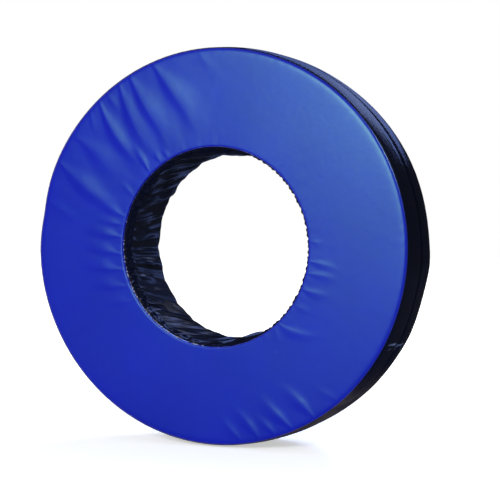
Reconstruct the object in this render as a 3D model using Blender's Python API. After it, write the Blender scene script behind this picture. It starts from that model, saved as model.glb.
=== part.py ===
"""A tackle wheel: a laminated foam ring in a sewn vinyl cover, standing upright on its tread.

Metres, +Z up. The origin is the wheel's centre, its spin axis is Y, and its front face looks along -Y.
Angles run in the XZ plane from +X towards +Z, so anticlockwise as seen from the front.
"""

import math

import bmesh
import bpy

# The wheel
WHEEL_RADIUS = 0.600
BORE_RADIUS = 0.298
THICKNESS = 0.250
FACE_CROWN = 0.007
CROWN = 0.0085
CROWN_FLAT = 0.040
REST_FLAT = 0.0005
FACETS = 80
CORNER_MARGIN_SHARE = 0.02

# The cover's vinyl, and the clearance between any two pieces
VINYL = 0.0007
FIT = 0.0003

# The faces: how far they roll over towards a seam, and the soft folds in the front one
SHOULDER = 0.030
FOLD_HEIGHT = 0.0015
SHOULDER_PLACE_SHARE = 0.25
PUCKER_LOW_SHARE = 0.45
PUCKER_HIGH_SHARE = 0.78
FOLD_SECTOR = (math.radians(118.0), math.radians(172.0))
PUCKER_WAVES = (17, 29)

# The black welt sewn into each outer seam
WELT_DIAMETER = 0.0044
WELT_SIDES = 5

# The tread: two strips that meet in a seam drawn a little into the foam
SEAM_DIP = 0.0006
DIP_WIDTH = 0.006
TREAD_BEND_SHARE = 0.58
SEAM_TAPE_WIDTH = 0.028
SEAM_TAPE_END_GAP = 0.006
TAPE_THICKNESS = 0.0008

# The bore's gathered lining
GATHERS = 64
GATHER_HEIGHT = 0.0045
LINING_ROOM = 0.0005
GATHER_INSET = 0.020
GATHER_SEAM_SHARE = 0.55
GATHER_MIDDLE_SHARE = 0.62
GATHER_EVEN_SHARE = 0.72
GATHER_DRIFT = (2.4, 1.7)

# The foam ring is glued up from slabs of one thickness each
MIDDLE_SLAB = 0.082
FOAM_CORNER = 0.0030

# The zip in the tread: its chain, and where its closed end stands
ZIP_LENGTH = 0.840
ZIP_REST_ANGLE = math.pi
TOOTH_PITCH = 0.006
TOOTH_WIDTH = 0.0025
TOOTH_TIP_WIDTH = 0.0021
CHAIN_WIDTH = 0.011
BEAD_WIDTH = 0.0015
CHAIN_THICKNESS = 0.0034
TEETH_PER_BEAD_FACET = 5
ZIP_TAPE_REACH = 0.0142
ZIP_TAPE_TAIL = 0.020
ZIP_OPENING = 0.0172
STOP_LENGTH = 0.004
BOX_STOP_LENGTH = 0.007
STOP_THICKNESS = 0.0048

# The zip's slider
SLIDER_LENGTH = 0.022
SLIDER_FLARE = 0.0008
SLIDER_PLATE = 0.0015
SLIDER_FLANGE = 0.0014
SLIDER_RUN = 0.0005
FLANGE_RUN = 0.0006
NECK_THICKNESS = 0.0008
NECK_LENGTH = 0.004
NECK_SETBACK = 0.002
BAIL_WIDTH = 0.0030
BAIL_INSIDE = 0.0100
BAIL_POST = 0.0018
BAIL_TOP = 0.0014
BAIL_TAPER = 0.0010
WELD = 0.0004

# The slider's pull tab
TAB_THICKNESS = 0.0014
TAB_CROSSBAR = 0.0018
TAB_LENGTH = 0.042
TAB_TOP_WIDTH = 0.0096
TAB_END_WIDTH = 0.0125
TAB_WINDOW = 0.0095
TAB_WINDOW_CLEARANCE = 0.0006
TAB_HOLE = 0.006
TAB_ROUND_SIDES = 8

# The patches over the zip's ends
PATCH_WIDTH = 0.056
PATCH_END_GAP = 0.0012
PATCH_OVERLAP_SHARE = 0.35

# Values that follow from the sizes above
HALF_THICKNESS = THICKNESS / 2
SEAM_HALF = HALF_THICKNESS - FACE_CROWN
SEAM_RADIUS = WHEEL_RADIUS - CROWN
WELT_RADIUS = WELT_DIAMETER / 2
FACET = 2 * math.pi / FACETS
FACET_SAG = math.cos(FACET / 2)
TREAD_EDGE = SEAM_HALF - WELT_RADIUS - FIT
TREAD_BEND = CROWN_FLAT / 2 + (TREAD_EDGE - CROWN_FLAT / 2) * TREAD_BEND_SHARE
FACE_RIM = SEAM_RADIUS - WELT_RADIUS - FIT
LINING_BACK = BORE_RADIUS + LINING_ROOM
FOAM_BORE = (LINING_BACK + FIT) / FACET_SAG
CHAIN_HALF = CHAIN_WIDTH / 2
TAPE_INNER = CHAIN_HALF + FIT
TAPE_OUTER = TAPE_INNER + ZIP_TAPE_REACH
SEAM_UNDERSIDE = WHEEL_RADIUS - SEAM_DIP - VINYL
SEAM_TAPE_TOP = SEAM_UNDERSIDE - FIT
TAPE_TOP = SEAM_UNDERSIDE * FACET_SAG - FIT
CHAIN_RADIUS = TAPE_TOP - TAPE_THICKNESS / 2
MIDDLE_SLAB_RADIUS = TAPE_TOP - TAPE_THICKNESS - FIT
SLIDER_CEILING = CHAIN_THICKNESS / 2 + SLIDER_RUN
SLIDER_TOP = SLIDER_CEILING + SLIDER_PLATE
SLIDER_INNER = CHAIN_HALF + SLIDER_RUN
SLIDER_OUTER = SLIDER_INNER + SLIDER_FLANGE
FLANGE_TIP = TAPE_THICKNESS / 2 + FLANGE_RUN
GROOVE_HALF = SLIDER_OUTER + SLIDER_FLARE + FIT
GROOVE_RADIUS = CHAIN_RADIUS - SLIDER_TOP - FIT
TOOTH_TIP = NECK_THICKNESS / 2 + FIT
TEETH_PER_SIDE = int(ZIP_LENGTH / TOOTH_PITCH)

# Angles along the zip, from its closed end at the slider to its open end
SLIDER_HALF_ANGLE = SLIDER_LENGTH / 2 / CHAIN_RADIUS
TEETH_LAST = ZIP_REST_ANGLE + SLIDER_HALF_ANGLE
TEETH_FIRST = TEETH_LAST - TEETH_PER_SIDE * TOOTH_PITCH / CHAIN_RADIUS
FIT_ANGLE = FIT / CHAIN_RADIUS
TOP_STOP_START = TEETH_LAST + FIT_ANGLE
TOP_STOP_END = TOP_STOP_START + STOP_LENGTH / CHAIN_RADIUS
BOX_STOP_END = TEETH_FIRST - FIT_ANGLE
BOX_STOP_START = BOX_STOP_END - BOX_STOP_LENGTH / CHAIN_RADIUS
TAPE_FIRST = BOX_STOP_START - ZIP_TAPE_TAIL / CHAIN_RADIUS
TAPE_LAST = TOP_STOP_END + ZIP_TAPE_TAIL / CHAIN_RADIUS


def point(angle, radius, along):
    """A place in the wheel, from its angle round the axis, its radius and its place along the axis."""
    return (radius * math.cos(angle), along, radius * math.sin(angle))


def facet_angles():
    """The cover's corners round the wheel, with one flat facet centred at the bottom and at each side."""
    return [(number + 0.5) * FACET for number in range(FACETS)]


def on_facet(angle, radius):
    """The radius of a faceted ring, whose corners lie at the given radius, part of the way along a facet."""
    middle = round(angle / FACET) * FACET
    return radius * FACET_SAG / math.cos(angle - middle)


def corners_between(first, last):
    """The two angles given, with the cover's corners that lie between them."""
    start = math.ceil(first / FACET - 0.5)
    stop = math.floor(last / FACET - 0.5)
    inside = [(number + 0.5) * FACET for number in range(start, stop + 1)]
    margin = FACET * CORNER_MARGIN_SHARE
    return [first] + [a for a in inside if first + margin < a < last - margin] + [last]


def tread_radius(along):
    """The tread's outer radius: flat across the middle, then falling in a curve to the seams."""
    beyond = max(0.0, abs(along) - CROWN_FLAT / 2)
    reach = SEAM_HALF - CROWN_FLAT / 2
    return WHEEL_RADIUS - CROWN * (beyond / reach) ** 2


def strip_radius(along):
    """The radius of a tread strip as it is built, straight between its edge, its bend and its flat top."""
    ends = (CROWN_FLAT / 2, TREAD_BEND) if along < TREAD_BEND else (TREAD_BEND, TREAD_EDGE)
    near, far = (tread_radius(end) for end in ends)
    return near + (far - near) * max(0.0, along - ends[0]) / (ends[1] - ends[0])


def make_material(name, color, roughness, metallic=0.0):
    material = bpy.data.materials.new(name)
    material.use_nodes = True
    shader = material.node_tree.nodes["Principled BSDF"]
    shader.inputs["Base Color"].default_value = (*color, 1.0)
    shader.inputs["Roughness"].default_value = roughness
    shader.inputs["Metallic"].default_value = metallic
    return material


def add_object(name, mesh, material, smooth_angle=math.radians(40.0)):
    """Put a mesh in the scene with its own material, shaded smooth up to the given angle."""
    mesh.materials.append(material)
    mesh.shade_smooth()
    mesh.set_sharp_from_angle(angle=smooth_angle)
    thing = bpy.data.objects.new(name, mesh)
    bpy.context.scene.collection.objects.link(thing)
    return thing


def loft_mesh(name, loops, closed):
    """Join closed loops of points, each with as many as the next, into one closed body."""
    shape = bmesh.new()
    rows = [[shape.verts.new(place) for place in loop] for loop in loops]
    pairs = list(zip(rows, rows[1:]))
    if closed:
        pairs.append((rows[-1], rows[0]))
    else:
        shape.faces.new(rows[0])
        shape.faces.new(rows[-1])
    for one, other in pairs:
        for index in range(len(one)):
            after = (index + 1) % len(one)
            shape.faces.new((one[index], one[after], other[after], other[index]))
    bmesh.ops.recalc_face_normals(shape, faces=shape.faces[:])
    mesh = bpy.data.meshes.new(name)
    shape.to_mesh(mesh)
    shape.free()
    return mesh


def ring(name, section, material, angles=None):
    """Loft a cross-section of (radius, along) points round the whole wheel, or through the angles given."""
    turns = angles or facet_angles()
    loops = [[point(angle, r, along) for r, along in section(angle)] for angle in turns]
    return add_object(name, loft_mesh(name, loops, closed=angles is None), material)


def pucker(angle):
    """How full the shoulder is at an angle, from drawn in at 0 to puffed out at 1."""
    first, second = PUCKER_WAVES
    wave = math.sin(first * angle) * math.cos(second * angle + 1)
    return (wave + 1) / 2


def fold(angle):
    """The front face's folds: soft ridges on alternate facets across one sector, as a share of their height."""
    start, end = FOLD_SECTOR
    if not start < angle < end:
        return 0.0
    ridge = round(angle / FACET - 0.5) % 2
    fade = math.sin(math.pi * (angle - start) / (end - start))
    return ridge * fade


def face_section(angle, side, fold_height):
    """A face panel: rolled over to its bore seam and its rim seam, flat between them."""
    share = PUCKER_LOW_SHARE + (PUCKER_HIGH_SHARE - PUCKER_LOW_SHARE) * pucker(angle)
    middle = (BORE_RADIUS + FACE_RIM) / 2
    outer = [
        (BORE_RADIUS, SEAM_HALF),
        (BORE_RADIUS + SHOULDER * SHOULDER_PLACE_SHARE, SEAM_HALF + FACE_CROWN * share),
        (BORE_RADIUS + SHOULDER, HALF_THICKNESS),
        (middle, HALF_THICKNESS + fold_height * fold(angle)),
        (FACE_RIM - SHOULDER, HALF_THICKNESS),
        (FACE_RIM - SHOULDER * SHOULDER_PLACE_SHARE, SEAM_HALF + FACE_CROWN * share),
        (FACE_RIM, SEAM_HALF),
    ]
    inner = [(r, h - VINYL) for r, h in (outer[6], outer[4], outer[2], outer[0])]
    return [(r, side * h) for r, h in outer + inner]


def add_faces(material_front, material_rear):
    ring("face_panel_front", lambda a: face_section(a, -1, FOLD_HEIGHT), material_front)
    ring("face_panel_rear", lambda a: face_section(a, 1, 0.0), material_rear)


def opening_range():
    """The facet corners between which the tread's strips stand fully apart for the zip."""
    first = math.floor((BOX_STOP_START - FIT_ANGLE) / FACET - 0.5)
    last = math.ceil((TOP_STOP_END + FIT_ANGLE) / FACET - 0.5)
    return (first + 0.5) * FACET, (last + 0.5) * FACET


def strip_edge(angle):
    """How far a tread strip's inner edge stands from the centre line: closed, or apart for the zip."""
    first, last = opening_range()
    apart = first - FACET / 2 < angle < last + FACET / 2
    return ZIP_OPENING / 2 if apart else FIT / 2


def pressed(angle, radius, depth):
    """A radius, drawn in where the wheel's weight presses the tread flat; depth is how far inside it lies."""
    down = -math.sin(angle)
    level = WHEEL_RADIUS - REST_FLAT - depth
    return level / down if radius * down > level else radius


def tread_section(angle, side):
    """One tread strip, from its rim seam over the crown to the centre line."""
    edge = strip_edge(angle)
    shape = [
        (tread_radius(TREAD_EDGE), TREAD_EDGE),
        (tread_radius(TREAD_BEND), TREAD_BEND),
        (WHEEL_RADIUS, CROWN_FLAT / 2),
        (WHEEL_RADIUS, edge + DIP_WIDTH),
        (WHEEL_RADIUS - SEAM_DIP, edge),
    ]
    outer = [(pressed(angle, r, 0), side * h) for r, h in shape]
    lining_side = (shape[4], shape[2], shape[1], shape[0])
    return outer + [(pressed(angle, r - VINYL, VINYL), side * h) for r, h in lining_side]


def add_treads(material_front, material_rear):
    for name, side, material in (
        ("tread_strip_front", -1, material_front),
        ("tread_strip_rear", 1, material_rear),
    ):
        ring(name, lambda a, s=side: tread_section(a, s), material)


def add_welts(material_front, material_rear):
    for name, side, material in (
        ("edge_welt_front", -1, material_front),
        ("edge_welt_rear", 1, material_rear),
    ):
        turns = [2 * math.pi * number / WELT_SIDES for number in range(WELT_SIDES)]
        places = [
            (SEAM_RADIUS + WELT_RADIUS * math.cos(turn), side * (SEAM_HALF + WELT_RADIUS * math.sin(turn)))
            for turn in turns
        ]
        ring(name, lambda a, shape=places: shape, material)


def add_lining(material):
    """The bore's lining: plain where it lies on the foam, gathered into crests where it shows."""
    end = SEAM_HALF - VINYL - FIT
    rows = [
        (-end, GATHER_SEAM_SHARE),
        (GATHER_INSET - end, 1.0),
        (0.0, GATHER_MIDDLE_SHARE),
        (end - GATHER_INSET, 1.0),
        (end, GATHER_SEAM_SHARE),
    ]
    columns = 2 * GATHERS
    by_column, by_row = GATHER_DRIFT
    loops = []
    for column in range(columns):
        angle = 2 * math.pi * column / columns
        loop = []
        for row, (along, share) in enumerate(rows):
            wander = math.sin(by_column * column + by_row * row)
            uneven = GATHER_EVEN_SHARE + (1 - GATHER_EVEN_SHARE) * wander
            crest = GATHER_HEIGHT * share * uneven * (column % 2)
            loop.append(point(angle, BORE_RADIUS - LINING_ROOM - crest, along))
        loop.append(point(angle, LINING_BACK, end))
        loop.append(point(angle, LINING_BACK, -end))
        loops.append(loop)
    return add_object("bore_lining", loft_mesh("bore_lining", loops, closed=True), material)


def outer_slab_section(side):
    """An outer foam slab, its corners eased under the cover's shoulders."""
    start = MIDDLE_SLAB / 2 + FIT
    under = VINYL + FIT
    bore_step = FACE_CROWN * (FOAM_BORE - BORE_RADIUS) / SHOULDER
    corner = TREAD_EDGE - FOAM_CORNER
    return [
        (r, side * h)
        for r, h in (
            (FOAM_BORE, start),
            (FOAM_BORE, SEAM_HALF + bore_step - under),
            (BORE_RADIUS + SHOULDER, HALF_THICKNESS - under),
            (FACE_RIM - SHOULDER, HALF_THICKNESS - under),
            (FACE_RIM - FOAM_CORNER, SEAM_HALF - under),
            (strip_radius(corner) - under, corner),
            (strip_radius(start) - under, start),
        )
    ]


def middle_slab_section():
    """The middle foam slab: lower than its neighbours for the tapes, with a channel that clears the slider."""
    half = MIDDLE_SLAB / 2
    return [
        (FOAM_BORE, -half),
        (FOAM_BORE, half),
        (MIDDLE_SLAB_RADIUS, half),
        (MIDDLE_SLAB_RADIUS, GROOVE_HALF),
        (GROOVE_RADIUS, GROOVE_HALF),
        (GROOVE_RADIUS, -GROOVE_HALF),
        (MIDDLE_SLAB_RADIUS, -GROOVE_HALF),
        (MIDDLE_SLAB_RADIUS, -half),
    ]


def add_foam(material_firm, material_front, material_rear):
    ring("foam_slab_middle", lambda a: middle_slab_section(), material_firm)
    ring("foam_slab_front", lambda a: outer_slab_section(-1), material_front)
    ring("foam_slab_rear", lambda a: outer_slab_section(1), material_rear)


def band(top, low, high):
    """A flat tape's cross-section, hung below its top radius between two places along the axis."""
    return [(top, low), (top, high), (top - TAPE_THICKNESS, high), (top - TAPE_THICKNESS, low)]


def add_seam_tape(material):
    """The tape behind the tread's sewn seam, from one end of the zip round to the other."""
    gap = SEAM_TAPE_END_GAP / CHAIN_RADIUS
    angles = corners_between(TAPE_LAST + gap - 2 * math.pi, TAPE_FIRST - gap)
    half = SEAM_TAPE_WIDTH / 2
    ring("centre_seam_tape", lambda a: band(on_facet(a, SEAM_TAPE_TOP), -half, half), material, angles)


def zip_angles(first, last):
    """Even steps of half a facet or less, so that the zip follows its own circle closely."""
    steps = math.ceil((last - first) / (FACET / 2))
    return [first + (last - first) * step / steps for step in range(steps + 1)]


def add_zip_tapes(material_front, material_rear):
    angles = zip_angles(TAPE_FIRST, TAPE_LAST)
    for name, side, material in (
        ("zip_tape_front", -1, material_front),
        ("zip_tape_rear", 1, material_rear),
    ):
        shape = band(TAPE_TOP, side * TAPE_INNER, side * TAPE_OUTER)
        ring(name, lambda a, section=shape: section, material, angles)


def comb_mesh(name, side, stagger):
    """A row of tapered zip teeth on their bead, whose back runs straight past a few teeth at a time."""
    shape = bmesh.new()
    half = CHAIN_THICKNESS / 2
    root = CHAIN_HALF - BEAD_WIDTH
    pitch = TOOTH_PITCH / CHAIN_RADIUS
    wide = TOOTH_WIDTH / 2 / CHAIN_RADIUS
    narrow = TOOTH_TIP_WIDTH / 2 / CHAIN_RADIUS

    def column(angle, along):
        levels = (CHAIN_RADIUS - half, CHAIN_RADIUS + half)
        return [shape.verts.new(point(angle, radius, side * along)) for radius in levels]

    def walls(columns):
        for one, other in zip(columns, columns[1:]):
            shape.faces.new((one[0], one[1], other[1], other[0]))

    def caps(columns):
        for level in (0, 1):
            shape.faces.new([corner[level] for corner in columns])

    back = column(TEETH_FIRST, CHAIN_HALF)
    front = column(TEETH_FIRST, root)
    walls((back, front))
    for first in range(0, TEETH_PER_SIDE, TEETH_PER_BEAD_FACET):
        teeth = range(first, min(first + TEETH_PER_BEAD_FACET, TEETH_PER_SIDE))
        edge = [front]
        for number in teeth:
            middle = TEETH_FIRST + (number + 0.5 + stagger) * pitch
            before = column(middle - wide, root)
            tips = [column(middle - narrow, TOOTH_TIP), column(middle + narrow, TOOTH_TIP)]
            after = column(middle + wide, root)
            walls((edge[-1], before, *tips, after))
            caps((before, *tips, after))
            edge += [before, after]
        end = TEETH_LAST if teeth[-1] == TEETH_PER_SIDE - 1 else middle + wide
        if end == TEETH_LAST:
            edge.append(column(end, root))
            walls(edge[-2:])
        next_back = column(end, CHAIN_HALF)
        walls((back, next_back))
        caps((back, *edge, next_back))
        back, front = next_back, edge[-1]
    walls((front, back))
    bmesh.ops.recalc_face_normals(shape, faces=shape.faces[:])
    mesh = bpy.data.meshes.new(name)
    shape.to_mesh(mesh)
    shape.free()
    return mesh


def add_zip_teeth(material_front, material_rear):
    """Two rows, each set off by a quarter pitch, so that every tooth faces a space in the other row."""
    for name, side, stagger, material in (
        ("zip_teeth_front", -1, -0.25, material_front),
        ("zip_teeth_rear", 1, 0.25, material_rear),
    ):
        add_object(name, comb_mesh(name, side, stagger), material, math.radians(25.0))


def block(name, first, last, low, high, thickness, material):
    """A block on the zip's circle between two angles, as thick as given about the chain's middle."""
    top = CHAIN_RADIUS + thickness / 2
    section = [(top, low), (top, high), (top - thickness, high), (top - thickness, low)]
    ring(name, lambda a: section, material, [first, last])


def add_zip_stops(material_front, material_rear, material_box):
    for name, side, material in (
        ("zip_top_stop_front", -1, material_front),
        ("zip_top_stop_rear", 1, material_rear),
    ):
        near, far = side * TOOTH_TIP, side * CHAIN_HALF
        block(name, TOP_STOP_START, TOP_STOP_END, near, far, STOP_THICKNESS, material)
    block(
        "zip_box_stop", BOX_STOP_START, BOX_STOP_END, -CHAIN_HALF, CHAIN_HALF, STOP_THICKNESS, material_box
    )


def add_patches(material_upper, material_lower):
    """A vinyl patch over each end of the zip, lying on the tread where the strips draw together."""
    first, last = opening_range()
    gap = PATCH_END_GAP / CHAIN_RADIUS
    over = FACET * (1 + PATCH_OVERLAP_SHARE)
    half = PATCH_WIDTH / 2
    stations = (-half, -CROWN_FLAT / 2, CROWN_FLAT / 2, half)

    def section(angle):
        under = [(on_facet(angle, tread_radius(along) + FIT), along) for along in stations]
        return under + [(r + VINYL, along) for r, along in reversed(under)]

    for name, start, end, material in (
        ("zip_patch_upper", first - over, BOX_STOP_START - gap, material_upper),
        ("zip_patch_lower", TOP_STOP_END + gap, last + over, material_lower),
    ):
        ring(name, section, material, corners_between(start, end))


def extruded(name, outline, depth, holes=()):
    """A flat outline of (x, z) points, with holes, given a depth centred on y = 0."""
    shape = bmesh.new()
    for loop in (outline, *holes):
        corners = [shape.verts.new((x, -depth / 2, z)) for x, z in loop]
        for index, corner in enumerate(corners):
            shape.edges.new((corner, corners[(index + 1) % len(corners)]))
    bmesh.ops.triangle_fill(shape, edges=shape.edges[:], use_beauty=True)
    swept = bmesh.ops.extrude_face_region(shape, geom=shape.faces[:])
    moved = [item for item in swept["geom"] if isinstance(item, bmesh.types.BMVert)]
    bmesh.ops.translate(shape, verts=moved, vec=(0.0, depth, 0.0))
    bmesh.ops.recalc_face_normals(shape, faces=shape.faces[:])
    mesh = bpy.data.meshes.new(name)
    shape.to_mesh(mesh)
    shape.free()
    return mesh


def slider_shell(side):
    """Half of the slider, above or below the chain: a plate with a flange down each side.

    The slider's X runs along the zip towards its open end, so the mouth, which is wider, is at -X. Its Z
    points away from the wheel, from the chain's middle.
    """
    half = SLIDER_LENGTH / 2
    loops = []
    for place, flare in ((-half, SLIDER_FLARE), (0.0, 0.0), (half, 0.0)):
        outer = SLIDER_OUTER + flare
        inner = SLIDER_INNER + flare
        shape = [
            (-outer, FLANGE_TIP),
            (-outer, SLIDER_TOP),
            (outer, SLIDER_TOP),
            (outer, FLANGE_TIP),
            (inner, FLANGE_TIP),
            (inner, SLIDER_CEILING),
            (-inner, SLIDER_CEILING),
            (-inner, FLANGE_TIP),
        ]
        loops.append([(place, y, side * z) for y, z in shape])
    return loft_mesh("slider_shell", loops, closed=False)


def slider_neck():
    """The slider's neck near its mouth, which joins the two plates and runs between the rows of teeth."""
    end = NECK_SETBACK - SLIDER_LENGTH / 2
    reach = SLIDER_CEILING + WELD
    corners = ((end, -reach), (end + NECK_LENGTH, -reach), (end + NECK_LENGTH, reach), (end, reach))
    return extruded("slider_neck", corners, NECK_THICKNESS)


def tab_swing():
    """The radius that the pull tab's crossbar sweeps as it turns."""
    return math.hypot(TAB_THICKNESS / 2, TAB_CROSSBAR / 2)


def tab_axis():
    """Where the pull tab turns, along the slider and above the chain's middle."""
    return FIT + tab_swing() - BAIL_INSIDE / 2, SLIDER_TOP + FIT + tab_swing()


def slider_bail():
    """The bridge on the slider's top plate that the pull tab hangs from."""
    inside = BAIL_INSIDE / 2
    outside = inside + BAIL_POST
    foot = SLIDER_TOP - WELD
    ceiling = SLIDER_TOP + 2 * (FIT + tab_swing())
    roof = ceiling + BAIL_TOP
    outline = (
        (-outside, foot),
        (-outside, roof - BAIL_TAPER),
        (BAIL_TAPER - outside, roof),
        (outside - BAIL_TAPER, roof),
        (outside, roof - BAIL_TAPER),
        (outside, foot),
        (inside, foot),
        (inside, ceiling),
        (-inside, ceiling),
        (-inside, foot),
    )
    return extruded("slider_bail", outline, BAIL_WIDTH)


def unite(thing, mesh):
    """Join a mesh to an object with a union that stays on it as a modifier."""
    helper = bpy.data.objects.new(mesh.name, mesh)
    bpy.context.scene.collection.objects.link(helper)
    helper.parent = thing
    helper.hide_render = True
    helper.display_type = "WIRE"
    union = thing.modifiers.new("join_" + mesh.name, "BOOLEAN")
    union.operation = "UNION"
    union.solver = "EXACT"
    union.object = helper


def add_slider(material):
    """The slider, hung from an empty on the wheel's axis, which is the axis that it travels about."""
    axle = bpy.data.objects.new("zip_travel_axis", None)
    bpy.context.scene.collection.objects.link(axle)
    axle.rotation_euler = (0.0, math.pi / 2 - ZIP_REST_ANGLE, 0.0)
    slider = add_object("zip_slider", slider_shell(1), material, math.radians(30.0))
    slider.parent = axle
    slider.location = (0.0, 0.0, CHAIN_RADIUS)
    for mesh in (slider_shell(-1), slider_neck(), slider_bail()):
        unite(slider, mesh)
    return slider


def tab_outline():
    """The pull tab's outline: square where it is held, widening to a rounded end."""
    top = -TAB_CROSSBAR / 2
    round_radius = TAB_END_WIDTH / 2
    centre = TAB_LENGTH - round_radius
    points = [(top, -TAB_TOP_WIDTH / 2)]
    for number in range(TAB_ROUND_SIDES + 1):
        turn = -math.pi / 2 + math.pi * number / TAB_ROUND_SIDES
        points.append((centre + round_radius * math.cos(turn), round_radius * math.sin(turn)))
    points.append((top, TAB_TOP_WIDTH / 2))
    return points


def add_pull_tab(slider, material):
    """The tab, hanging by its crossbar inside the bail, with its origin on its hinge."""
    window_half = BAIL_WIDTH / 2 + TAB_WINDOW_CLEARANCE
    near, far = TAB_CROSSBAR / 2, TAB_WINDOW
    window = ((near, -window_half), (far, -window_half), (far, window_half), (near, window_half))
    centre = TAB_LENGTH - TAB_END_WIDTH / 2
    hole = [
        (
            centre + TAB_HOLE / 2 * math.cos(2 * math.pi * number / TAB_ROUND_SIDES),
            TAB_HOLE / 2 * math.sin(2 * math.pi * number / TAB_ROUND_SIDES),
        )
        for number in range(TAB_ROUND_SIDES)
    ]
    mesh = extruded("zip_pull_tab", tab_outline(), TAB_THICKNESS, (window, hole))
    tab = add_object("zip_pull_tab", mesh, material, math.radians(30.0))
    place, height = tab_axis()
    tab.parent = slider
    tab.location = (place, 0.0, height)
    tab.rotation_euler = (math.pi / 2, 0.0, math.pi)
    return tab


def vinyl(name, color):
    return make_material(name, color, roughness=0.38)


def build():
    blue = (0.030, 0.046, 0.420)
    black = (0.012, 0.012, 0.017)
    grey_foam = (0.30, 0.30, 0.32)
    pale_foam = (0.62, 0.60, 0.54)
    tape_black = (0.020, 0.020, 0.022)
    tooth_black = (0.016, 0.016, 0.018)
    nickel = (0.55, 0.55, 0.56)

    add_foam(
        make_material("firm_foam", grey_foam, 0.9),
        make_material("soft_foam_front", pale_foam, 0.9),
        make_material("soft_foam_rear", pale_foam, 0.9),
    )
    add_faces(vinyl("blue_vinyl_front", blue), vinyl("blue_vinyl_rear", blue))
    add_treads(vinyl("black_vinyl_front", black), vinyl("black_vinyl_rear", black))
    add_lining(vinyl("black_vinyl_lining", black))
    add_welts(vinyl("welt_vinyl_front", black), vinyl("welt_vinyl_rear", black))
    add_seam_tape(make_material("seam_tape_cloth", tape_black, 0.8))
    add_zip_tapes(
        make_material("zip_tape_cloth_front", tape_black, 0.8),
        make_material("zip_tape_cloth_rear", tape_black, 0.8),
    )
    add_zip_teeth(
        make_material("tooth_resin_front", tooth_black, 0.45),
        make_material("tooth_resin_rear", tooth_black, 0.45),
    )
    add_zip_stops(
        make_material("stop_metal_front", nickel, 0.35, 1.0),
        make_material("stop_metal_rear", nickel, 0.35, 1.0),
        make_material("stop_metal_box", nickel, 0.35, 1.0),
    )
    add_patches(vinyl("patch_vinyl_upper", black), vinyl("patch_vinyl_lower", black))
    slider = add_slider(make_material("slider_metal", nickel, 0.3, 1.0))
    add_pull_tab(slider, make_material("pull_tab_metal", nickel, 0.3, 1.0))


for old in list(bpy.data.objects):
    bpy.data.objects.remove(old, do_unlink=True)
build()
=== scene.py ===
"""The looks of a tackle wheel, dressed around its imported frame.

Metres, +Z up. The origin is the wheel's centre, its spin axis is Y, and its front face looks along -Y.
Angles run in the XZ plane from +X towards +Z, so anticlockwise as seen from the front.
"""

import math

import bmesh
import bpy
import numpy as np
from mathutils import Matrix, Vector


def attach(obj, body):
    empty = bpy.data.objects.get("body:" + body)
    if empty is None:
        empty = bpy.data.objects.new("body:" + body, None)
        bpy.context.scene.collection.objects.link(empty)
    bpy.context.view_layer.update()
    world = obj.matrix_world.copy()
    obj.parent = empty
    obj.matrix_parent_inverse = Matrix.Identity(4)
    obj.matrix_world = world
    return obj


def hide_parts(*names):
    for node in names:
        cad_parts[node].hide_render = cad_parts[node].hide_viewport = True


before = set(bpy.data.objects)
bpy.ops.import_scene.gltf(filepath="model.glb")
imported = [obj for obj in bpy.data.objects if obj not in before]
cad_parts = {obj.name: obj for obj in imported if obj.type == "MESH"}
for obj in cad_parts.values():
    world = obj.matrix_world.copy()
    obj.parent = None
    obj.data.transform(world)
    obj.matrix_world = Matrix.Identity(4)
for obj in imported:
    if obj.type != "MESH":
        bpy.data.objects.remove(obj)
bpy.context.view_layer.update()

# The wheel's sizes, as its source has them
WHEEL_RADIUS = 0.600
BORE_RADIUS = 0.298
HALF_THICKNESS = 0.125
FACE_CROWN = 0.007
CROWN = 0.0085
CROWN_FLAT_HALF = 0.020
REST_LEVEL = -0.5995
VINYL = 0.0007
FIT = 0.0003
WELT_RADIUS = 0.0022
SEAM_HALF = HALF_THICKNESS - FACE_CROWN
SEAM_RADIUS = WHEEL_RADIUS - CROWN
TREAD_EDGE = SEAM_HALF - WELT_RADIUS - FIT
FACE_RIM = SEAM_RADIUS - WELT_RADIUS - FIT
FACE_EDGE = FACE_RIM + 0.001
LINING_ROOM = 0.0005
LINING_END = SEAM_HALF - VINYL - FIT
MIDDLE_SLAB_HALF = 0.041
MIDDLE_SLAB_RADIUS = 0.59684
FOAM_BORE = 0.2990
FOAM_CORNER = 0.0030
FOAM_ROOM = 0.0004
GLUE = 0.0003
GROOVE_HALF = 0.0085
GROOVE_RADIUS = 0.59354
RIB_SPACING = 0.0016

# The zip, as the source has it
CHAIN_RADIUS = 0.59754
TOOTH_PITCH = 0.006
TEETH_PER_SIDE = 140
TEETH_LAST = math.pi + 0.011 / CHAIN_RADIUS
TEETH_FIRST = TEETH_LAST - TEETH_PER_SIDE * TOOTH_PITCH / CHAIN_RADIUS
ZIP_OPENING_HALF = 0.0086
OPENING_FIRST = math.radians(96.75)
OPENING_LAST = math.radians(182.25)
OPENING_RUN = math.radians(4.5)
TAPE_INNER = 0.0058
TAPE_OUTER = 0.0200
TAPE_TOP = 0.59794
TAPE_THICKNESS = 0.0008
TAPE_FIRST = math.radians(97.89)
TAPE_LAST = math.radians(183.38)

# The camera: where it stands, from the wheel's centre, and how it is framed
CAMERA_AZIMUTH = math.radians(21.898)
CAMERA_ELEVATION = math.radians(1.731)
CAMERA_DISTANCE = 4.1222
CAMERA_LENS = 97.07
CAMERA_SHIFT = (0.0428, -0.0082)


def direction(azimuth, elevation):
    """A unit vector from the wheel towards a place, by azimuth from -Y towards +X, and elevation."""
    flat = math.cos(elevation)
    return (math.sin(azimuth) * flat, -math.cos(azimuth) * flat, math.sin(elevation))


def scaled(parts, share):
    """A colour or a place with each of its parts times a number."""
    return tuple(share * part for part in parts)


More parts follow.
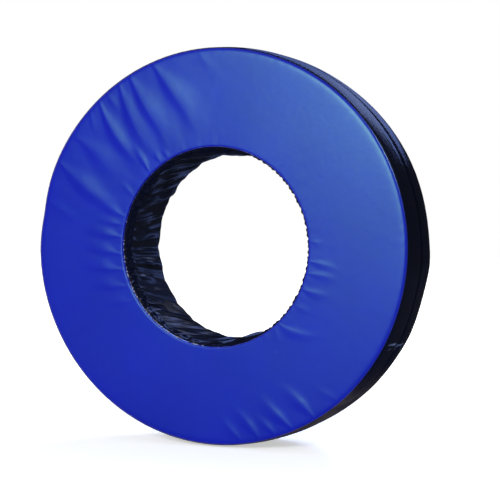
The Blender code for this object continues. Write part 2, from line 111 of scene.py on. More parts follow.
def aim(thing, place, target=(0.0, 0.0, 0.0)):
    """Stand a camera or lamp at a place, looking at a target."""
    thing.location = place
    thing.rotation_euler = (Vector(target) - Vector(place)).to_track_quat("-Z", "Y").to_euler()


def add_camera():
    """The photo's camera."""
    data = bpy.data.cameras.new("camera")
    camera = bpy.data.objects.new("camera", data)
    bpy.context.scene.collection.objects.link(camera)
    back = direction(CAMERA_AZIMUTH, CAMERA_ELEVATION)
    aim(camera, scaled(back, CAMERA_DISTANCE))
    data.sensor_width = 36.0
    data.lens = CAMERA_LENS
    data.shift_x, data.shift_y = CAMERA_SHIFT
    data.clip_end = 100.0
    bpy.context.scene.camera = camera


add_camera()


# ---- shared mesh helpers


def smoothstep(value):
    """0 below 0, 1 above 1 and a smooth rise between."""
    clipped = np.clip(value, 0.0, 1.0)
    return clipped * clipped * (3.0 - 2.0 * clipped)


def bell(away, width):
    """1 at no distance, falling off smoothly over a width."""
    return np.exp(-((away / width) ** 2))


def full_turn(count):
    """Angles spaced evenly round a circle, from 0."""
    return np.linspace(0.0, 2.0 * math.pi, count, endpoint=False)


def ripples(angle, across, seed, count, lowest, highest, reach):
    """Smooth unevenness that closes on itself round the wheel, about from -1 to 1.

    It is a sum of count waves, each with lowest to highest crests round the wheel, and each slanting by up to
    a whole wave over the reach.
    """
    draw = np.random.default_rng(seed)
    total = np.zeros(np.broadcast(angle, across).shape)
    for _ in range(count):
        waves = draw.integers(lowest, highest + 1)
        slant = draw.uniform(-1.0, 1.0) * 2.0 * math.pi / reach
        phase = draw.uniform(0.0, 2.0 * math.pi)
        total = total + np.cos(waves * angle + slant * across + phase)
    return total / math.sqrt(count / 2.0) / 2.0


# Where the soft ring isn't round: (angle, half width, how far it stands out at the front and at the rear)
LOBES = (
    (170, 9, -0.0075, 0.0),
    (232, 40, -0.0010, 0.0),
    (150, 30, -0.0010, 0.0),
    (-46, 17, 0.0015, 0.0080),
    (-26, 9, 0.0, 0.0050),
    (-5, 7, 0.0, 0.0062),
    (24, 32, 0.0, 0.0040),
)
# They begin at the first radius and are full at the second
LOBES_FROM = 0.36
LOBES_FULL = 0.59


def turned_from(angle, other):
    """How far an angle lies past another, the short way round."""
    return (angle - other + math.pi) % (2.0 * math.pi) - math.pi


def turned(angle, degrees):
    """How far an angle lies past one given in degrees, the short way round."""
    return turned_from(angle, math.radians(degrees))


def near(angle, degrees, width):
    """1 at an angle in degrees, falling off over a half width in degrees."""
    return bell(turned(angle, degrees), math.radians(width))


def lobes(angle, radius, along):
    """How far the soft ring stands out of its circle at each place: fully at the rim, not at the bore."""
    front = np.clip(0.5 - along / (2.0 * SEAM_HALF), 0.0, 1.0)
    total = 0.0
    for middle, width, at_front, at_rear in LOBES:
        shape = np.exp(-np.abs(turned(angle, middle) / math.radians(width)) ** 1.6)
        total = total + shape * (at_front * front + at_rear * (1.0 - front))
    return total * smoothstep((radius - LOBES_FROM) / (LOBES_FULL - LOBES_FROM))


def round_points(angle, radius, along):
    """Places in the wheel, from arrays of angle, radius and place along the axis."""
    angle, radius, along = np.broadcast_arrays(angle, radius, along)
    radius = radius + lobes(angle, radius, along)
    return np.stack([radius * np.cos(angle), along, radius * np.sin(angle)], axis=-1)


def mesh_of(name, points, faces):
    """A mesh, its faces turned outwards."""
    mesh = bpy.data.meshes.new(name)
    mesh.from_pydata(points.tolist(), [], faces)
    shape = bmesh.new()
    shape.from_mesh(mesh)
    bmesh.ops.recalc_face_normals(shape, faces=shape.faces[:])
    shape.to_mesh(mesh)
    shape.free()
    return mesh


def loop_faces(rows, columns, closed=False):
    """The faces between rows of points, each a closed loop: the rows close up too, or get end caps."""
    index = np.arange(rows * columns).reshape(rows, columns)
    beside = np.roll(index, -1, axis=1)
    quads = np.stack([index, beside, np.roll(beside, -1, axis=0), np.roll(index, -1, axis=0)], axis=-1)
    if closed:
        return quads.reshape(-1, 4).tolist()
    return quads[:-1].reshape(-1, 4).tolist() + [index[0][::-1].tolist(), index[-1].tolist()]


def lofted(name, points, closed=True):
    """A closed body from rows of points, each row a closed loop."""
    rows, columns, _ = points.shape
    return mesh_of(name, points.reshape(-1, 3), loop_faces(rows, columns, closed))


def add_piece(mesh, body, material, nodes=(), sharp=math.radians(50.0)):
    """Put a mesh in the scene, riding on its body and standing for its CAD nodes."""
    mesh.materials.append(material)
    mesh.shade_smooth()
    mesh.set_sharp_from_angle(angle=sharp)
    thing = bpy.data.objects.new(mesh.name, mesh)
    bpy.context.scene.collection.objects.link(thing)
    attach(thing, body)
    if nodes:
        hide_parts(*nodes)
    return thing


def add_skin(name, top, under, material, cad, closed=True):
    """A piece of cloth on the wheel, from the points of its top and, in the opposite order, its underside."""
    mesh = lofted(name, np.concatenate([top, under], axis=1), closed)
    return add_piece(mesh, "wheel", material, [cad])


# ---- materials


def new_material(name, color, roughness):
    """A material of one plain colour and roughness, to build on."""
    material = bpy.data.materials.new(name)
    material.use_nodes = True
    tree = material.node_tree
    shader = tree.nodes["Principled BSDF"]
    shader.inputs["Base Color"].default_value = (*color, 1.0)
    shader.inputs["Roughness"].default_value = roughness
    return material, tree, shader


def node(tree, kind, settings=(), **inputs):
    """A new shader node, with its settings and its inputs' values."""
    made = tree.nodes.new(kind)
    for name, value in dict(settings).items():
        setattr(made, name, value)
    for name, value in inputs.items():
        made.inputs[name.replace("_", " ")].default_value = value
    return made


def position(tree):
    """The place on the piece, in its own directions."""
    return node(tree, "ShaderNodeTexCoord").outputs["Object"]


def pattern(tree, kind, where, output, settings=(), **inputs):
    """A texture's output, laid out over the given places."""
    made = node(tree, kind, settings, **inputs)
    tree.links.new(where, made.inputs["Vector"])
    return made.outputs[output]


def noise(tree, where, scale, detail=3.0, rough=0.5):
    """Cloudy noise, from 0 to 1."""
    return pattern(tree, "ShaderNodeTexNoise", where, "Fac", Scale=scale, Detail=detail, Roughness=rough)


def ranged(tree, value, low, high, to_low=0.0, to_high=1.0, smooth=False):
    """A value's range stretched or squeezed to another one, and kept inside it."""
    made = node(tree, "ShaderNodeMapRange", {"interpolation_type": "SMOOTHSTEP" if smooth else "LINEAR"})
    for name, number in (("From Min", low), ("From Max", high), ("To Min", to_low), ("To Max", to_high)):
        made.inputs[name].default_value = number
    tree.links.new(value, made.inputs["Value"])
    return made.outputs["Result"]


def plug(tree, socket, value):
    """Give a socket a number, a colour or another node's output."""
    if isinstance(value, (int, float)):
        socket.default_value = value
    elif isinstance(value, tuple):
        socket.default_value = (*value, 1.0)
    else:
        tree.links.new(value, socket)


def math_node(tree, operation, first, second):
    """One step of arithmetic on two numbers, each a number or a socket."""
    made = node(tree, "ShaderNodeMath", {"operation": operation})
    plug(tree, made.inputs[0], first)
    plug(tree, made.inputs[1], second)
    return made.outputs["Value"]


def vector_node(tree, operation, first, second=None):
    """One step of vector arithmetic on a socket and a vector, or a socket's length."""
    made = node(tree, "ShaderNodeVectorMath", {"operation": operation})
    tree.links.new(first, made.inputs[0])
    if second is None:
        return made.outputs["Value"]
    made.inputs[1].default_value = second
    return made.outputs["Vector"]


def mixed(tree, share, first, second):
    """Mix two colours, each a colour or a socket, by a share that is a socket or a number."""
    made = node(tree, "ShaderNodeMix", {"data_type": "RGBA"})
    for socket, value in (("Factor", share), (6, first), (7, second)):
        plug(tree, made.inputs[socket], value)
    return made.outputs[2]


def bumped(tree, shader, height, distance):
    """Give a material a relief, by its pattern and its height in metres."""
    made = node(tree, "ShaderNodeBump", Distance=distance, Strength=1.0)
    tree.links.new(height, made.inputs["Height"])
    tree.links.new(made.outputs["Normal"], shader.inputs["Normal"])
    return made.outputs["Normal"]


def vinyl_material(name, color, worn, roughness, uneven, grain):
    """Coated cloth: one colour with scuffs, over a pressed grain and wider unevenness, both in metres."""
    material, tree, shader = new_material(name, color, roughness)
    shader.inputs["Specular IOR Level"].default_value = 0.0
    where = position(tree)
    mottle = noise(tree, where, 6.0)
    fine = noise(tree, where, 260.0, 4.0, 0.6)
    scuff = noise(tree, where, 38.0, 8.0, 0.72)
    scuffed = ranged(tree, scuff, 0.62, 0.78, to_high=0.35, smooth=True)
    shade = mixed(tree, ranged(tree, mottle, 0.3, 0.7), color, scaled(color, 0.88))
    tree.links.new(mixed(tree, scuffed, shade, worn), shader.inputs["Base Color"])
    smooth = {"feature": "SMOOTH_F1"}
    cells = pattern(tree, "ShaderNodeTexVoronoi", where, "Distance", smooth, Scale=620.0, Smoothness=0.6)
    pebble = math_node(tree, "ADD", cells, math_node(tree, "MULTIPLY", fine, 0.8))
    waves = math_node(tree, "MULTIPLY", noise(tree, where, 42.0), uneven / grain)
    normal = bumped(tree, shader, math_node(tree, "ADD", pebble, waves), grain)
    return material, tree, shader, normal


BLUE = (0.0030, 0.0036, 0.365)
BLUE_SHEEN = (0.44, 1.0, 0.50)
BLUE_WORN = (0.03, 0.05, 0.42)
BLACK = (0.0042, 0.0056, 0.0165)
BLACK_WORN = (0.02, 0.02, 0.025)
# A paler brownish tone for the tread low down
LOW_TONE = (0.092, 0.074, 0.080)
# Crinkles low on the tread's right, given more gloss and a painted highlight in their colour: (centre, half
# size)
GLOSS_AND_HIGHLIGHT_SPOTS = (
    ((0.527, -0.066, -0.281), (0.030, 0.040, 0.013)),
    ((0.523, 0.018, -0.289), (0.030, 0.056, 0.014)),
)
# The pale bluish colour of the highlight painted onto those crinkles
PAINTED_HIGHLIGHT = (0.09, 0.15, 0.34)
SHINE = 14.0
STREAK_STRETCH = (1.0, 0.30, 1.5)
# The coat is dull from the seam's middle up to the first distance from it, and glossy from the second
SEAM_DULL = (0.0030, 0.0085)
# A paler brownish tone low on the tread: none above the first height, the most below the second
LOW_TONE_HEIGHTS = (-0.33, -0.50)
LOW_TONE_MOST = 0.8


def make_blue():
    """Blue vinyl: a soft satin sheen that is more cyan than the colour under it."""
    material, _, shader, _ = vinyl_material(
        "blue_vinyl", BLUE, BLUE_WORN, roughness=0.38, uneven=0.00030, grain=0.00012
    )
    shader.inputs["Specular IOR Level"].default_value = 0.17
    shader.inputs["Specular Tint"].default_value = (*BLUE_SHEEN, 1.0)
    return material


def near_spots(tree, where, spots):
    """1 at the middle of each spot, 0 outside all of them."""
    total = 0.0
    for centre, half in spots:
        away = vector_node(tree, "DIVIDE", vector_node(tree, "SUBTRACT", where, centre), half)
        inside = ranged(tree, vector_node(tree, "LENGTH", away), 0.45, 1.0, 1.0, 0.0, smooth=True)
        total = math_node(tree, "MAXIMUM", total, inside)
    return total


def make_black(name, gloss, roughness, face_on_power):
    """Black vinyl with a thin gloss coat, kept about as strong at grazing angles as face on."""
    material, tree, shader, normal = vinyl_material(
        name, BLACK, BLACK_WORN, roughness=0.6, uneven=0.00005, grain=0.00005
    )
    shader.inputs["Coat Roughness"].default_value = roughness
    facing = node(tree, "ShaderNodeLayerWeight", Blend=0.5).outputs["Facing"]
    face_on = math_node(tree, "POWER", math_node(tree, "SUBTRACT", 1.0, facing), face_on_power)
    coat = math_node(tree, "MULTIPLY", face_on, gloss)
    tree.links.new(coat, shader.inputs["Coat Weight"])
    tree.links.new(normal, shader.inputs["Coat Normal"])
    return material, tree, shader, coat


def make_tread():
    """The tread's black vinyl: a paler brownish tone low down, and a few crinkles with more gloss and a
    painted highlight.
    """
    material, tree, shader, coat = make_black("black_vinyl", gloss=0.0215, roughness=0.22, face_on_power=0.5)
    where = position(tree)
    stretched = vector_node(tree, "MULTIPLY", where, STREAK_STRETCH)
    streaks = ranged(tree, noise(tree, stretched, 62.0, 2.0), 0.42, 0.66, smooth=True)
    gloss_and_highlight = math_node(tree, "MULTIPLY", near_spots(tree, where, GLOSS_AND_HIGHLIGHT_SPOTS), streaks)
    stronger = math_node(tree, "ADD", math_node(tree, "MULTIPLY", gloss_and_highlight, SHINE), 1.0)
    split = node(tree, "ShaderNodeSeparateXYZ")
    tree.links.new(where, split.inputs["Vector"])
    from_seam = math_node(tree, "ABSOLUTE", split.outputs["Y"], 0.0)
    out_of_seam = ranged(tree, from_seam, *SEAM_DULL, smooth=True)
    cleaned = math_node(tree, "MULTIPLY", math_node(tree, "MULTIPLY", coat, stronger), out_of_seam)
    tree.links.new(cleaned, shader.inputs["Coat Weight"])
    low = ranged(tree, split.outputs["Z"], *LOW_TONE_HEIGHTS, to_high=LOW_TONE_MOST, smooth=True)
    patchy = ranged(tree, noise(tree, where, 14.0, 5.0, 0.6), 0.35, 0.65, to_low=0.3)
    clean = shader.inputs["Base Color"].links[0].from_socket
    toned_low = mixed(tree, math_node(tree, "MULTIPLY", low, patchy), clean, LOW_TONE)
    # Painted highlight: the crinkles' colour is mixed towards a pale bluish grey
    highlighted = mixed(tree, math_node(tree, "MULTIPLY", gloss_and_highlight, 0.9), toned_low, PAINTED_HIGHLIGHT)
    tree.links.new(highlighted, shader.inputs["Base Color"])
    return material


blue_vinyl = make_blue()
tread_vinyl = make_tread()
lining_vinyl = make_black("lining_vinyl", gloss=0.034, roughness=0.20, face_on_power=0.8)[0]


def make_foam(name, color, pores):
    """Cut foam: open pores, and a paler or darker cloud here and there."""
    material, tree, shader = new_material(name, color, roughness=0.95)
    shader.inputs["Specular IOR Level"].default_value = 0.2
    where = position(tree)
    cloud = ranged(tree, noise(tree, where, 9.0), 0.3, 0.7)
    tree.links.new(mixed(tree, cloud, color, scaled(color, 0.86)), shader.inputs["Base Color"])
    bumped(tree, shader, pattern(tree, "ShaderNodeTexVoronoi", where, "Distance", Scale=pores), 0.0010)
    return material


def make_cloth(name, color, threads):
    """Woven tape: a fine weave, its threads paler here and there."""
    material, tree, shader = new_material(name, color, roughness=0.85)
    where = position(tree)
    fuzz = ranged(tree, noise(tree, where, 120.0, 4.0), 0.3, 0.7)
    tree.links.new(mixed(tree, fuzz, color, scaled(color, 1.5)), shader.inputs["Base Color"])
    bumped(tree, shader, pattern(tree, "ShaderNodeTexChecker", where, "Fac", Scale=threads), 0.00015)
    return material


def make_resin():
    """Moulded resin, its shine a little uneven."""
    material, tree, shader = new_material("tooth_resin", (0.012, 0.012, 0.013), roughness=0.42)
    worn = ranged(tree, noise(tree, position(tree), 300.0), 0.4, 0.7, 0.36, 0.52)
    tree.links.new(worn, shader.inputs["Roughness"])
    return material


NICKEL = (0.55, 0.54, 0.52)
NICKEL_DULL = (0.36, 0.34, 0.31)


def make_nickel():
    """Nickel plate, rougher and duller where it is handled."""
    material, tree, shader = new_material("zip_metal", NICKEL, roughness=0.30)
    shader.inputs["Metallic"].default_value = 1.0
    where = position(tree)
    handled = noise(tree, where, 160.0, 5.0, 0.65)
    tree.links.new(ranged(tree, handled, 0.3, 0.75, 0.22, 0.46), shader.inputs["Roughness"])
    dull = ranged(tree, handled, 0.55, 0.75, to_high=0.5)
    tree.links.new(mixed(tree, dull, NICKEL, NICKEL_DULL), shader.inputs["Base Color"])
    return material


def make_thread(name, color):
    """Twisted thread."""
    material, tree, shader = new_material(name, color, roughness=0.7)
    twist = pattern(tree, "ShaderNodeTexWave", position(tree), "Fac", Scale=900.0, Distortion=1.0)
    bumped(tree, shader, twist, 0.0001)
    return material


soft_foam = make_foam("soft_foam", (0.62, 0.60, 0.54), pores=420.0)
firm_foam = make_foam("firm_foam", (0.30, 0.30, 0.32), pores=650.0)
tape_cloth = make_cloth("tape_cloth", (0.014, 0.014, 0.016), threads=1400.0)
tooth_resin = make_resin()
nickel = make_nickel()
white_thread = make_thread("white_thread", (0.75, 0.76, 0.78))
black_thread = make_thread("black_thread", (0.010, 0.010, 0.012))

# ---- the faces

# Soft folds in the front face. Each crest starts as a point at the rim or at the bore, then widens and fades
# towards the other. It drops steeply on the side of larger angles and gently on the other: (angles of its
# start, middle and end, radii of its start and end, height, half width of the gentle side, of the steep side)
FOLDS = (
    (95, 92, 89, 0.592, 0.490, 0.0006, 0.024, 0.016),
    (110, 104, 95, 0.594, 0.300, 0.0038, 0.046, 0.022),
    (118, 117, 113, 0.594, 0.290, 0.0044, 0.046, 0.018),
    (122, 125, 126, 0.594, 0.290, 0.0040, 0.038, 0.018),
    (127, 127, 127, 0.594, 0.500, 0.0010, 0.014, 0.009),
    (130, 134, 133, 0.594, 0.285, 0.0042, 0.028, 0.016),
    (134, 137, 139, 0.594, 0.500, 0.0007, 0.014, 0.009),
    (144, 145, 151, 0.575, 0.290, 0.0027, 0.038, 0.026),
    (153, 158, 162, 0.594, 0.280, 0.0052, 0.038, 0.021),
    (166, 168, 172, 0.594, 0.440, 0.0010, 0.020, 0.014),
    (119, 119, 120, 0.300, 0.340, 0.0009, 0.009, 0.007),
    (124, 124, 124, 0.300, 0.350, 0.0010, 0.010, 0.008),
    (133, 131, 130, 0.300, 0.420, 0.0016, 0.013, 0.010),
    (150, 148, 147, 0.300, 0.380, 0.0008, 0.013, 0.010),
    (163, 162, 161, 0.300, 0.410, 0.0016, 0.016, 0.011),
    (168, 168, 168, 0.300, 0.420, 0.0018, 0.017, 0.011),
    (175, 174, 173, 0.300, 0.450, 0.0028, 0.021, 0.013),
    (-175, -178, -180, 0.300, 0.450, 0.0027, 0.021, 0.013),
    (-166, -170, -173, 0.300, 0.470, 0.0032, 0.024, 0.014),
    (-156, -161, -165, 0.300, 0.450, 0.0024, 0.022, 0.014),
    (-147, -151, -155, 0.300, 0.420, 0.0015, 0.018, 0.012),
    (4, 3, 3, 0.300, 0.350, 0.0006, 0.009, 0.007),
    (-7, -8, -9, 0.300, 0.410, 0.0011, 0.013, 0.010),
    (-14, -13, -13, 0.300, 0.410, 0.0012, 0.014, 0.011),
    (-23, -22, -20, 0.300, 0.400, 0.0012, 0.014, 0.011),
    (-33, -32, -31, 0.300, 0.370, 0.0006, 0.012, 0.010),
    (-47, -43, -36, 0.300, 0.430, 0.0015, 0.017, 0.013),
    (-50, -52, -54, 0.300, 0.360, 0.0007, 0.011, 0.009),
    (-80, -84, -88, 0.594, 0.490, 0.0014, 0.018, 0.012),
    (-75, -78, -83, 0.594, 0.460, 0.0022, 0.020, 0.013),
    (-70, -72, -75, 0.594, 0.500, 0.0018, 0.015, 0.011),
    (-64, -68, -72, 0.594, 0.440, 0.0027, 0.022, 0.014),
    (-57, -59, -63, 0.594, 0.430, 0.0026, 0.022, 0.014),
    (-48, -50, -52, 0.592, 0.500, 0.0007, 0.015, 0.011),
)

# The rear face is hidden in the photo: a few folds like the front's, where the zip's opening is pulled shut
REAR_FOLDS = (
    (100, 102, 106, 0.594, 0.400, 0.0018, 0.026, 0.016),
    (112, 113, 113, 0.594, 0.330, 0.0026, 0.034, 0.020),
    (126, 124, 121, 0.594, 0.380, 0.0020, 0.028, 0.017),
    (141, 143, 147, 0.594, 0.360, 0.0024, 0.030, 0.018),
    (157, 155, 154, 0.594, 0.420, 0.0016, 0.024, 0.015),
    (172, 174, 178, 0.594, 0.350, 0.0022, 0.030, 0.018),
    (20, 21, 23, 0.300, 0.400, 0.0010, 0.015, 0.011),
    (38, 37, 35, 0.300, 0.420, 0.0014, 0.018, 0.012),
    (61, 62, 62, 0.300, 0.380, 0.0010, 0.014, 0.010),
    (104, 103, 101, 0.300, 0.420, 0.0016, 0.019, 0.013),
    (133, 134, 137, 0.300, 0.400, 0.0012, 0.016, 0.012),
    (196, 198, 201, 0.300, 0.430, 0.0016, 0.019, 0.013),
    (222, 221, 219, 0.300, 0.390, 0.0012, 0.015, 0.011),
    (258, 260, 262, 0.300, 0.400, 0.0012, 0.016, 0.012),
    (301, 300, 298, 0.300, 0.410, 0.0014, 0.018, 0.012),
    (336, 337, 339, 0.300, 0.370, 0.0010, 0.014, 0.010),
)

# A fold's width at its start, as a share of its full one, and how far along it has its full width, has its
# full height and starts to fade
FOLD_POINT = 0.22
FOLD_WIDE = 0.45
FOLD_RISEN = 0.04
FOLD_FADES = 0.30


def fold_heights(angle, radius, folds):
    """How far the folds lift the face at each place."""
    total = np.zeros(np.broadcast(angle, radius).shape)
    for first_deg, middle_deg, last_deg, first, last, height, gentle, steep in folds:
        share = (radius - first) / (last - first)
        inside = np.clip(share, 0.0, 1.0)
        bend = 4.0 * inside * (1.0 - inside) * (middle_deg - (first_deg + last_deg) / 2.0)
        crest = np.radians(first_deg + (last_deg - first_deg) * inside + bend)
        away = turned_from(angle, crest) * radius
        spread = FOLD_POINT + (1.0 - FOLD_POINT) * smoothstep(inside / FOLD_WIDE)
        across = np.where(away > 0.0, away / steep, away / gentle) / spread
        faded = smoothstep((share - FOLD_FADES) / (1.0 - FOLD_FADES))
        along = smoothstep(share / FOLD_RISEN) * spread * (1.0 - faded)
        total += height * along * np.exp(-np.abs(across) ** 1.9)
    return total


def rolled(distance, wide, tight, share):
    """0 at a seam and 1 far from it: a wide gentle roll with a tight one at the seam itself."""
    return 1.0 - share * np.exp(-distance / wide) - (1.0 - share) * np.exp(-distance / tight)


# The rolls at the two seams: (width of the wide one, of the tight one, the wide one's share)
RIM_ROLL = (0.0060, 0.0022, 0.58)
BORE_ROLL = (0.0018, 0.0011, 0.30)
# Heights of the face's long waves, of its fine unevenness and of the puckers at its two seams
FACE_WAVES = 0.0005
FACE_CREPE = 0.00016
RIM_PUCKERS = 0.0002
BORE_PUCKERS = 0.0003


def face_height(angle, radius, seed, folds):
    """A face's height above its seams: flat foam under tight cloth, rolled over to both seams."""
    from_rim = np.maximum(FACE_EDGE - radius, 0.0)
    from_bore = np.maximum(radius - BORE_RADIUS, 0.0)
    roll = rolled(from_rim, *RIM_ROLL) * rolled(from_bore, *BORE_ROLL)
    height = FACE_CROWN * roll
    height = height + FACE_WAVES * ripples(angle, radius, seed, 14, 2, 9, 0.30) * roll
    left = 0.25 + 0.75 * smoothstep(0.5 - 0.9 * np.cos(angle - math.radians(15.0)))
    height = height + FACE_CREPE * ripples(angle, radius, seed + 3, 26, 20, 60, 0.12) * roll * left
    near_rim = np.exp(-from_rim / 0.012) * smoothstep(from_rim / 0.012)
    near_bore = np.exp(-from_bore / 0.016) * smoothstep(from_bore / 0.010)
    height = height + RIM_PUCKERS * near_rim * ripples(angle, radius, seed + 1, 18, 50, 130, 0.4)
    height = height + BORE_PUCKERS * near_bore * ripples(angle, radius, seed + 2, 18, 30, 80, 0.4)
    return height + fold_heights(angle, radius, folds)


def eased(count):
    """Steps from 0 to 1, closer together near both ends."""
    steps = np.linspace(0.0, 1.0, count)
    return 0.5 - 0.5 * np.cos(math.pi * steps) * (0.35 + 0.65 * np.abs(np.cos(math.pi * steps)) ** 0.5)


# Points round the wheel, seeds of each face's unevenness, and the foam behind each side
AROUND = 1080
FACE_SEEDS = {-1: 11, 1: 21}


def add_face(name, side, across, folds, cad):
    """A blue face, with its cloth's thickness behind it."""
    grid = full_turn(AROUND)[:, None]
    radii = np.unique(BORE_RADIUS + (FACE_EDGE - BORE_RADIUS) * eased(across))
    outside = side * (SEAM_HALF + face_height(grid, radii[None, :], FACE_SEEDS[side], folds))
    few = radii[::-6]
    inside = side * (SEAM_HALF - VINYL + face_height(grid, few[None, :], FACE_SEEDS[side], ()))
    top = round_points(grid, radii[None, :], outside)
    under = round_points(grid, few[None, :], inside)
    face = add_skin(name, top, under, blue_vinyl, cad)


add_face("face_cover_front", -1, 84, FOLDS, "face_panel_front")
add_face("face_cover_rear", 1, 72, REAR_FOLDS, "face_panel_rear")

# ---- the tread


def tread_radius(along):
    """The tread's plain curve: flat in the middle, lower towards both seams."""
    beyond = np.maximum(0.0, np.abs(along) - CROWN_FLAT_HALF)
    return WHEEL_RADIUS - CROWN * (beyond / (SEAM_HALF - CROWN_FLAT_HALF)) ** 2


def strip_edge(angle):
    """How far a strip's inner edge stands from the centre line, closed or apart for the zip."""
    opened = smoothstep((angle - OPENING_FIRST + OPENING_RUN) / OPENING_RUN)
    opened = opened * smoothstep((OPENING_LAST + OPENING_RUN - angle) / OPENING_RUN)
    return FIT / 2 + (ZIP_OPENING_HALF - FIT / 2) * opened, opened


def pressed(angle, radius, depth=0.0):
    """Radii, drawn in where the wheel stands on the floor."""
    down = np.maximum(-np.sin(angle), 1e-6)
    return np.minimum(radius, np.where(down > 0.5, (-REST_LEVEL - depth) / down, np.inf))


# Creases in the tread: (angle, place along the axis, height, half length round, half width, slant)
CREASES = (
    (-4.5, 0.055, 0.0022, 0.012, 0.045, 0.00),
    (-6.0, -0.060, 0.0014, 0.022, 0.0060, -1.64),
    (-8.6, 0.070, 0.0014, 0.030, 0.0040, 0.09),
    (-25.0, 0.060, 0.0024, 0.016, 0.040, 0.00),
    (-27.0, -0.060, 0.0026, 0.006, 0.022, 0.00),
    (-28.2, -0.070, 0.0020, 0.004, 0.010, 0.00),
    (-28.3, 0.035, 0.0030, 0.007, 0.026, 0.00),
    (-29.5, 0.075, 0.0020, 0.005, 0.016, 0.00),
    (-62.0, -0.020, 0.0012, 0.060, 0.0060, 0.20),
    (28.0, -0.040, 0.0006, 0.070, 0.0080, -0.10),
    (205.0, 0.040, 0.0014, 0.050, 0.0050, 0.12),
    (236.0, -0.050, 0.0014, 0.060, 0.0050, -0.15),
)

TREAD_WAVES = 0.0005
TREAD_PUCKERS = 0.0003


def tread_swell(angle, along, side):
    """What stands out of the tread's plain curve: foam fullness, unevenness and creases."""
    to_edge = np.clip((TREAD_EDGE - np.abs(along)) / 0.014, 0.0, 1.0)
    to_seam = np.clip(np.abs(along) / 0.012, 0.0, 1.0)
    swell = TREAD_WAVES * ripples(angle, along, 31 + side, 16, 3, 16, 0.25)
    swell = swell + TREAD_PUCKERS * ripples(angle, along, 35 + side, 20, 60, 140, 0.2) * (1.0 - to_edge)
    swell = swell + TREAD_PUCKERS * ripples(angle, along, 38 + side, 20, 80, 180, 0.2) * (1.0 - to_seam)
    for middle, place, height, length, width, slant in CREASES:
        round_it = turned(angle, middle) * WHEEL_RADIUS
        across = along - place - slant * round_it
        swell = swell + height * bell(round_it, length) * bell(across, width)
    return swell * np.sqrt(to_edge) * np.sqrt(to_seam)


# How far a strip is drawn in at the piping, at the centre seam and at its edge beside the zip, over what
# widths, and the shallow valley along the seam
WELT_PULL, WELT_PULL_WIDTH = 0.0024, 0.0020
SEAM_PULL, ZIP_EDGE_PULL, SEAM_PULL_WIDTH = 0.0030, 0.0006, 0.0042
SEAM_VALLEY, SEAM_VALLEY_WIDTH = 0.0012, 0.014


def seam_groove(along, edge, opened):
    """How far a strip is drawn in at the centre seam, and at its stitched-back edge beside the zip."""
    from_edge = np.maximum(along - edge, 0.0)
    drawn = (ZIP_EDGE_PULL + SEAM_PULL * (1.0 - opened)) * np.exp(-from_edge / SEAM_PULL_WIDTH)
    return drawn + SEAM_VALLEY * (1.0 - opened) * bell(from_edge, SEAM_VALLEY_WIDTH)


def add_tread(name, side, across, cad):
    """One of the tread's two strips, from its piping to the centre seam."""
    grid = full_turn(AROUND)[:, None]
    edge, opened = strip_edge(grid)
    along = TREAD_EDGE + (edge - TREAD_EDGE) * eased(across)[None, :]
    radius = tread_radius(along) + tread_swell(grid, side * along, side)
    radius = radius - seam_groove(along, edge, opened)
    radius = radius - WELT_PULL * np.exp(-(TREAD_EDGE - along) / WELT_PULL_WIDTH)
    outside = round_points(grid, pressed(grid, radius), side * along)
    few = slice(None, None, -5)
    inside = round_points(grid, pressed(grid, radius[:, few] - VINYL, VINYL), side * along[:, few])
    strip = add_skin(name, outside, inside, tread_vinyl, cad)


add_tread("tread_cover_front", -1, 52, "tread_strip_front")
add_tread("tread_cover_rear", 1, 52, "tread_strip_rear")

PIPING_RADIUS = SEAM_RADIUS - 0.0010
PIPING_HALF = SEAM_HALF - 0.0030
PIPING_UNEVEN = 0.05


def add_piping(name, side, cad):
    """The piping in one seam, a little uneven as sewn."""
    angles, turn = full_turn(720)[:, None], full_turn(12)[None, :]
    thick = WELT_RADIUS * (1.0 + PIPING_UNEVEN * ripples(angles, turn, 51 + side, 12, 60, 160, 9.0))
    along = side * (PIPING_HALF + thick * np.sin(turn))
    mesh = lofted(name, round_points(angles, PIPING_RADIUS + thick * np.cos(turn), along))
    add_piece(mesh, "wheel", tread_vinyl, [cad])


add_piping("piping_front", -1, "edge_welt_front")
add_piping("piping_rear", 1, "edge_welt_rear")

# ---- the bore's gathered lining

# How far a fold of the lining leans over from one seam to the other, where it leans most
SLANT = 0.34

# Where the lining hangs further into the bore: (angle, half width, how far)
SAGS = (
    (90, 15, 0.0070),
    (150, 46, 0.0050),
    (145, 10, 0.0020),
    (172, 9, 0.0025),
    (206, 34, 0.0050),
    (285, 12, 0.0050),
)

# How far each kind of fold stands into the bore
LOOSE = 0.0030
SLACK = 0.0052
BIG_FOLDS = 0.0105
SMALL_FOLDS = 0.0046
PINCHES = 0.0022
RUFFLE = 0.0018
RUFFLE_SLACK = 0.0034
RUFFLE_PINCHES = 0.0020


def crests(phase, sharpness):
    """Waves from 0 to 1 whose crests are narrower than their hollows."""
    return (0.5 + 0.5 * np.sin(phase)) ** sharpness


def chords(angle, seed, shortest, longest):
    """Between the tucks of a seam the cloth runs straight: 0 at each tuck, 1 halfway to the next."""
    draw = np.random.default_rng(seed)
    tucks = [0.0]
    while tucks[-1] < 2.0 * math.pi - longest / BORE_RADIUS:
        tucks.append(tucks[-1] + draw.uniform(shortest, longest) / BORE_RADIUS)
    tucks = np.array(tucks + [2.0 * math.pi])
    place = np.mod(angle, 2.0 * math.pi)
    after = np.clip(np.searchsorted(tucks, place, side="right"), 1, len(tucks) - 1)
    share = (place - tucks[after - 1]) / (tucks[after] - tucks[after - 1])
    length = (tucks[after] - tucks[after - 1]) * BORE_RADIUS / longest
    return 4.0 * share * (1.0 - share) * length


